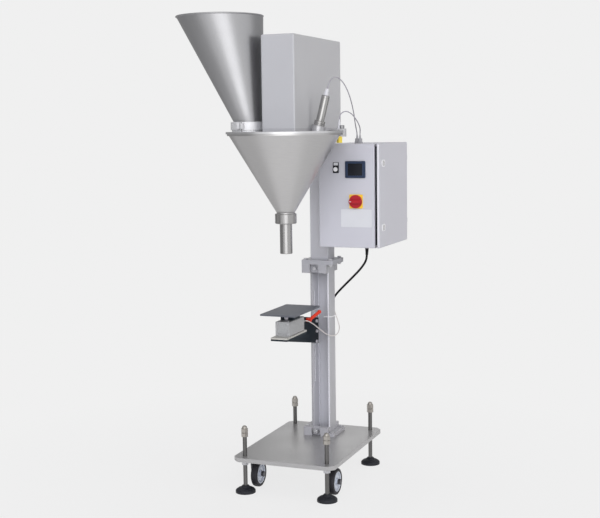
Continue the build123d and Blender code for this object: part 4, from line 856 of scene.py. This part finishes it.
cellFront, cellLow, cellTop = -0.325, 0.768, 0.836
coverFace, boxLow = 0.2858, 1.739
zincScrew = {"finish": "zincSteel", "slot": "zinc"}
cellScrew = {**zincScrew, "profile": socketHead(0.0042, 0.0030), "body": "table"}
screwSet = {}
for i, (dx, dz) in enumerate([(-0.026, 0.010), (0.026, 0.010), (-0.026, 0.058), (0.026, 0.058)]):
    screwSet["cellScrew%d" % i] = {**cellScrew, "axis": (0, -1, 0),
                                   "at": (screwX + dx, cellFront, cellLow + dz)}
for i, (dx, dy) in enumerate([(-0.022, 0.020), (0.022, 0.020), (-0.022, 0.166), (0.022, 0.166)]):
    screwSet["cellTopScrew%d" % i] = {**cellScrew, "axis": (0, 0, 1),
                                      "at": (screwX + dx, cellFront + dy, cellTop)}
for i, (z, r, h) in enumerate([(0.2005, 0.0125, 0.0150), (1.0295, 0.0088, 0.0045)]):
    screwSet["clampScrew%d" % i] = {**zincScrew, "at": (0.06625, 0.1415, z), "axis": (0, -1, 0),
                                    "body": "stand", "profile": socketHead(r, h)}
for i, (dx, dz) in enumerate([(a, b) for b in (0.018, 0.2, 0.382) for a in (-0.062, 0.062)]):
    screwSet["boxScrew%d" % i] = {**zincScrew, "at": (screwX + dx, coverFace, boxLow + dz), "axis": (0, 1, 0),
                                  "body": "stand", "profile": socketHead(0.0045, 0.0026)}
# the ball of the pan's carrier: a short neck, then a dome
neckR, neckH = 0.0062, 0.0030
screwSet["carrierBall"] = {
    "at": (0.0825, -0.2712, 0.8456), "axis": (0, -1, 0), "body": "table", "finish": "boltPale", "slot": "zinc",
    "profile": [(0, neckR), (neckH, neckR)] + [(neckH + a, b) for a, b in domeHead(0.0094, 0.0086)]}
probeAxis = (0.24869, 0, 0.96858)
screwSet["probeBody"] = {
    "at": (0.20325, -0.15, 1.714), "axis": probeAxis, "body": "stand", "around": 96,
    "finish": "probeSteel", "slot": "stainless", "replaces": "level_probe",
    "profile": [(0.0260, 0.0250), (0.0266, 0.0256), (0.0350, 0.0256), (0.0354, 0.0248), (0.0364, 0.0248),
                (0.0368, 0.0256), (0.0466, 0.0256), (0.0474, 0.0248), (0.0476, 0.0200), (0.0482, 0.0192),
                (0.1550, 0.0192), (0.1556, 0.0186), (0.1566, 0.0186), (0.1572, 0.0192), (0.1640, 0.0192),
                (0.1660, 0.0186), (0.1674, 0.0170), (0.1680, 0.0150)]}
screwSet["probePlug"] = {
    "at": (0.245030, -0.15, 1.876721), "axis": probeAxis, "body": "stand", "around": 72,
    "flutes": (18, 0.0003), "finish": "switchWhite", "slot": "switch_white",
    "profile": [(0.0000, 0.0104), (0.0006, 0.0112), (0.0100, 0.0112), (0.0108, 0.0104), (0.0112, 0.0088),
                (0.0288, 0.0088), (0.0306, 0.0080), (0.0314, 0.0060)]}
for i, (body, x) in enumerate([("wheel_left", -0.07875), ("wheel_right", 0.31325)]):
    screwSet["hubRing%d" % i] = {
        "at": (x, -0.220, 0.068), "axis": (1, 0, 0), "body": body, "around": 96,
        "finish": "rimMetal", "slot": "rim",
        "profile": [(-0.0062, 0.0372), (-0.0040, 0.0372), (-0.0034, 0.0366), (-0.0034, 0.0346),
                    (-0.0040, 0.0340), (-0.0070, 0.0340)]}
for name, s in screwSet.items():
    piece = turnedPiece(name, s)
    if "replaces" in s:
        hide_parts(s["replaces"])
print("turned fittings:", len(screwSet))


# points on each rounded corner, and the least radius that a corner keeps as the rings shrink
cornerSteps, leastCorner = 7, 0.0002


def platePiece(name, s):
    # rings of a rounded rectangle from the wall up over a soft edge and inwards,
    # to a flat middle or a round hole
    out = np.array(s["out"], float)
    u = np.array(s["across"], float)
    v = np.cross(out, u)
    turn = (np.arange(4) * np.pi / 2)[:, None] + np.linspace(0, np.pi / 2, cornerSteps)[None, :]
    signU, signV = np.array([1, -1, -1, 1])[:, None], np.array([1, 1, -1, -1])[:, None]
    w, h, r = s["size"][0] / 2, s["size"][1] / 2, s["corner"]
    t, soft = s["thick"], s["soft"]
    flat = []
    for inset in (0.0, 0.0, 0.3 * soft, soft, 3 * soft):
        rr = max(r - inset, leastCorner)
        flat.append(np.stack([(signU * (w - r) + rr * np.cos(turn)).ravel(),
                              (signV * (h - r) + rr * np.sin(turn)).ravel()], -1))
    rise = [0.0, t - soft, t - 0.3 * soft, t, t]
    cols = flat[0].shape[0]
    if "hole" in s:
        way = np.arctan2(flat[0][:, 1], flat[0][:, 0])
        flat += [s["hole"] * np.stack([np.cos(way), np.sin(way)], -1)] * 2
        rise += [t, 0.0]
    flat = np.array(flat)
    points = np.array(s["at"]) + flat[..., :1] * u + flat[..., 1:] * v + np.array(rise)[:, None, None] * out
    caps = [] if "hole" in s else [np.arange(cols) + (len(rise) - 1) * cols]
    return makePiece(name, points, gridFaces(len(rise), cols, True), s["finish"], s["body"], caps)


facingFront = {"out": (0, -1, 0), "across": (1, 0, 0)}
lockPlate = {"out": (1, 0, 0), "across": (0, 1, 0), "size": (0.052, 0.034), "corner": 0.010, "thick": 0.0016,
             "soft": 0.0008, "hole": 0.0143, "finish": "lockPale", "body": "door", "slot": "lock"}
plateSet = {
    "bareNotice": {**facingFront, "at": (0.32125, 0.049, 1.293), "size": (0.156, 0.086), "corner": 0.003,
                   "thick": 0.0008, "soft": 0.0004, "finish": "bareLabel", "body": "stand",
                   "slot": "cabinet_paint"},
    "legendInsert": {**facingFront, "at": (0.21925, 0.047, 1.5535), "size": (0.022, 0.013), "corner": 0.001,
                     "thick": 0.0006, "soft": 0.0002, "finish": "bareLabel", "body": "stand", "slot": "legend"},
    "lockPlateUpper": {**lockPlate, "at": (0.43775, 0.113, 1.555)},
    "lockPlateLower": {**lockPlate, "at": (0.43775, 0.113, 1.245)},
    "boxRearCover": {"at": (screwX, 0.284, 1.939), "out": (0, 1, 0), "across": (-1, 0, 0),
                     "size": (0.146, 0.400),
                     "corner": 0.004, "thick": 0.0018, "soft": 0.0008, "finish": "boxPaint", "body": "stand",
                     "slot": "box_paint"},
    # a pale strip on the door's front edge: a painted highlight where the rounded edge catches the light
    "doorEdgeHighlight": {**facingFront, "at": (0.4320, 0.0490, 1.400), "size": (0.0095, 0.490), "corner": 0.002,
                 "thick": 0.0008, "soft": 0.0005, "finish": "doorEdgeSheen", "body": "door",
                 "slot": "cabinet_paint"},
    "knobTick": {**facingFront, "at": (0.3006, 0.0177, 1.374), "size": (0.010, 0.0028), "corner": 0.0008,
                 "thick": 0.0004, "soft": 0.0002, "finish": "tieWhite", "body": "main_switch", "slot": "red"},
    "glandPlate": {"at": (0.30225, 0.265, 1.150), "out": (0, 0, -1), "across": (1, 0, 0),
                   "size": (0.130, 0.220),
                   "corner": 0.006, "thick": 0.0020, "soft": 0.0008, "hole": 0.030, "finish": "cabinetPaint",
                   "body": "stand", "slot": "cabinet_paint"},
}
for name, s in plateSet.items():
    platePiece(name, s)
print("plates fitted:", len(plateSet))

weld = {"bead": 0.0016, "steps": 241, "around": 10, "ripple": 0.12, "waves": 80, "slot": "stainless"}
seamSet = {
    "funnelSeam": {**weld, "low": (-0.181, 0.070, 1.764), "high": (-0.318, 0.203, 2.246), "turn": 146.0,
                   "finish": "funnelSteel"},
    "coneSeam": {**weld, "low": (0.0, 0.042, 1.342), "high": (0.0, 0.256, 1.694), "turn": 88.0,
                 "finish": "coneSteel"},
}


def weldSeam(name, s):
    # a low bead up one straight line of a cone, from low to high (axis offset, radius, height);
    # its own radius ripples as a weld does
    t = np.linspace(0, 1, s["steps"])
    mid, r, z = (np.interp(t, (0, 1), (a, b)) for a, b in zip(s["low"], s["high"]))
    a = math.radians(s["turn"])
    path = np.stack([screwX + mid + r * math.cos(a), screwY + r * math.sin(a), z], -1)
    radius = s["bead"] * (1 + s["ripple"] * np.cos(2 * np.pi * s["waves"] * t))
    return ringPiece(name, tubeAlong(path, radius, s["around"]), s, "stand")


for name, s in seamSet.items():
    weldSeam(name, s)
print("weld seams:", len(seamSet))
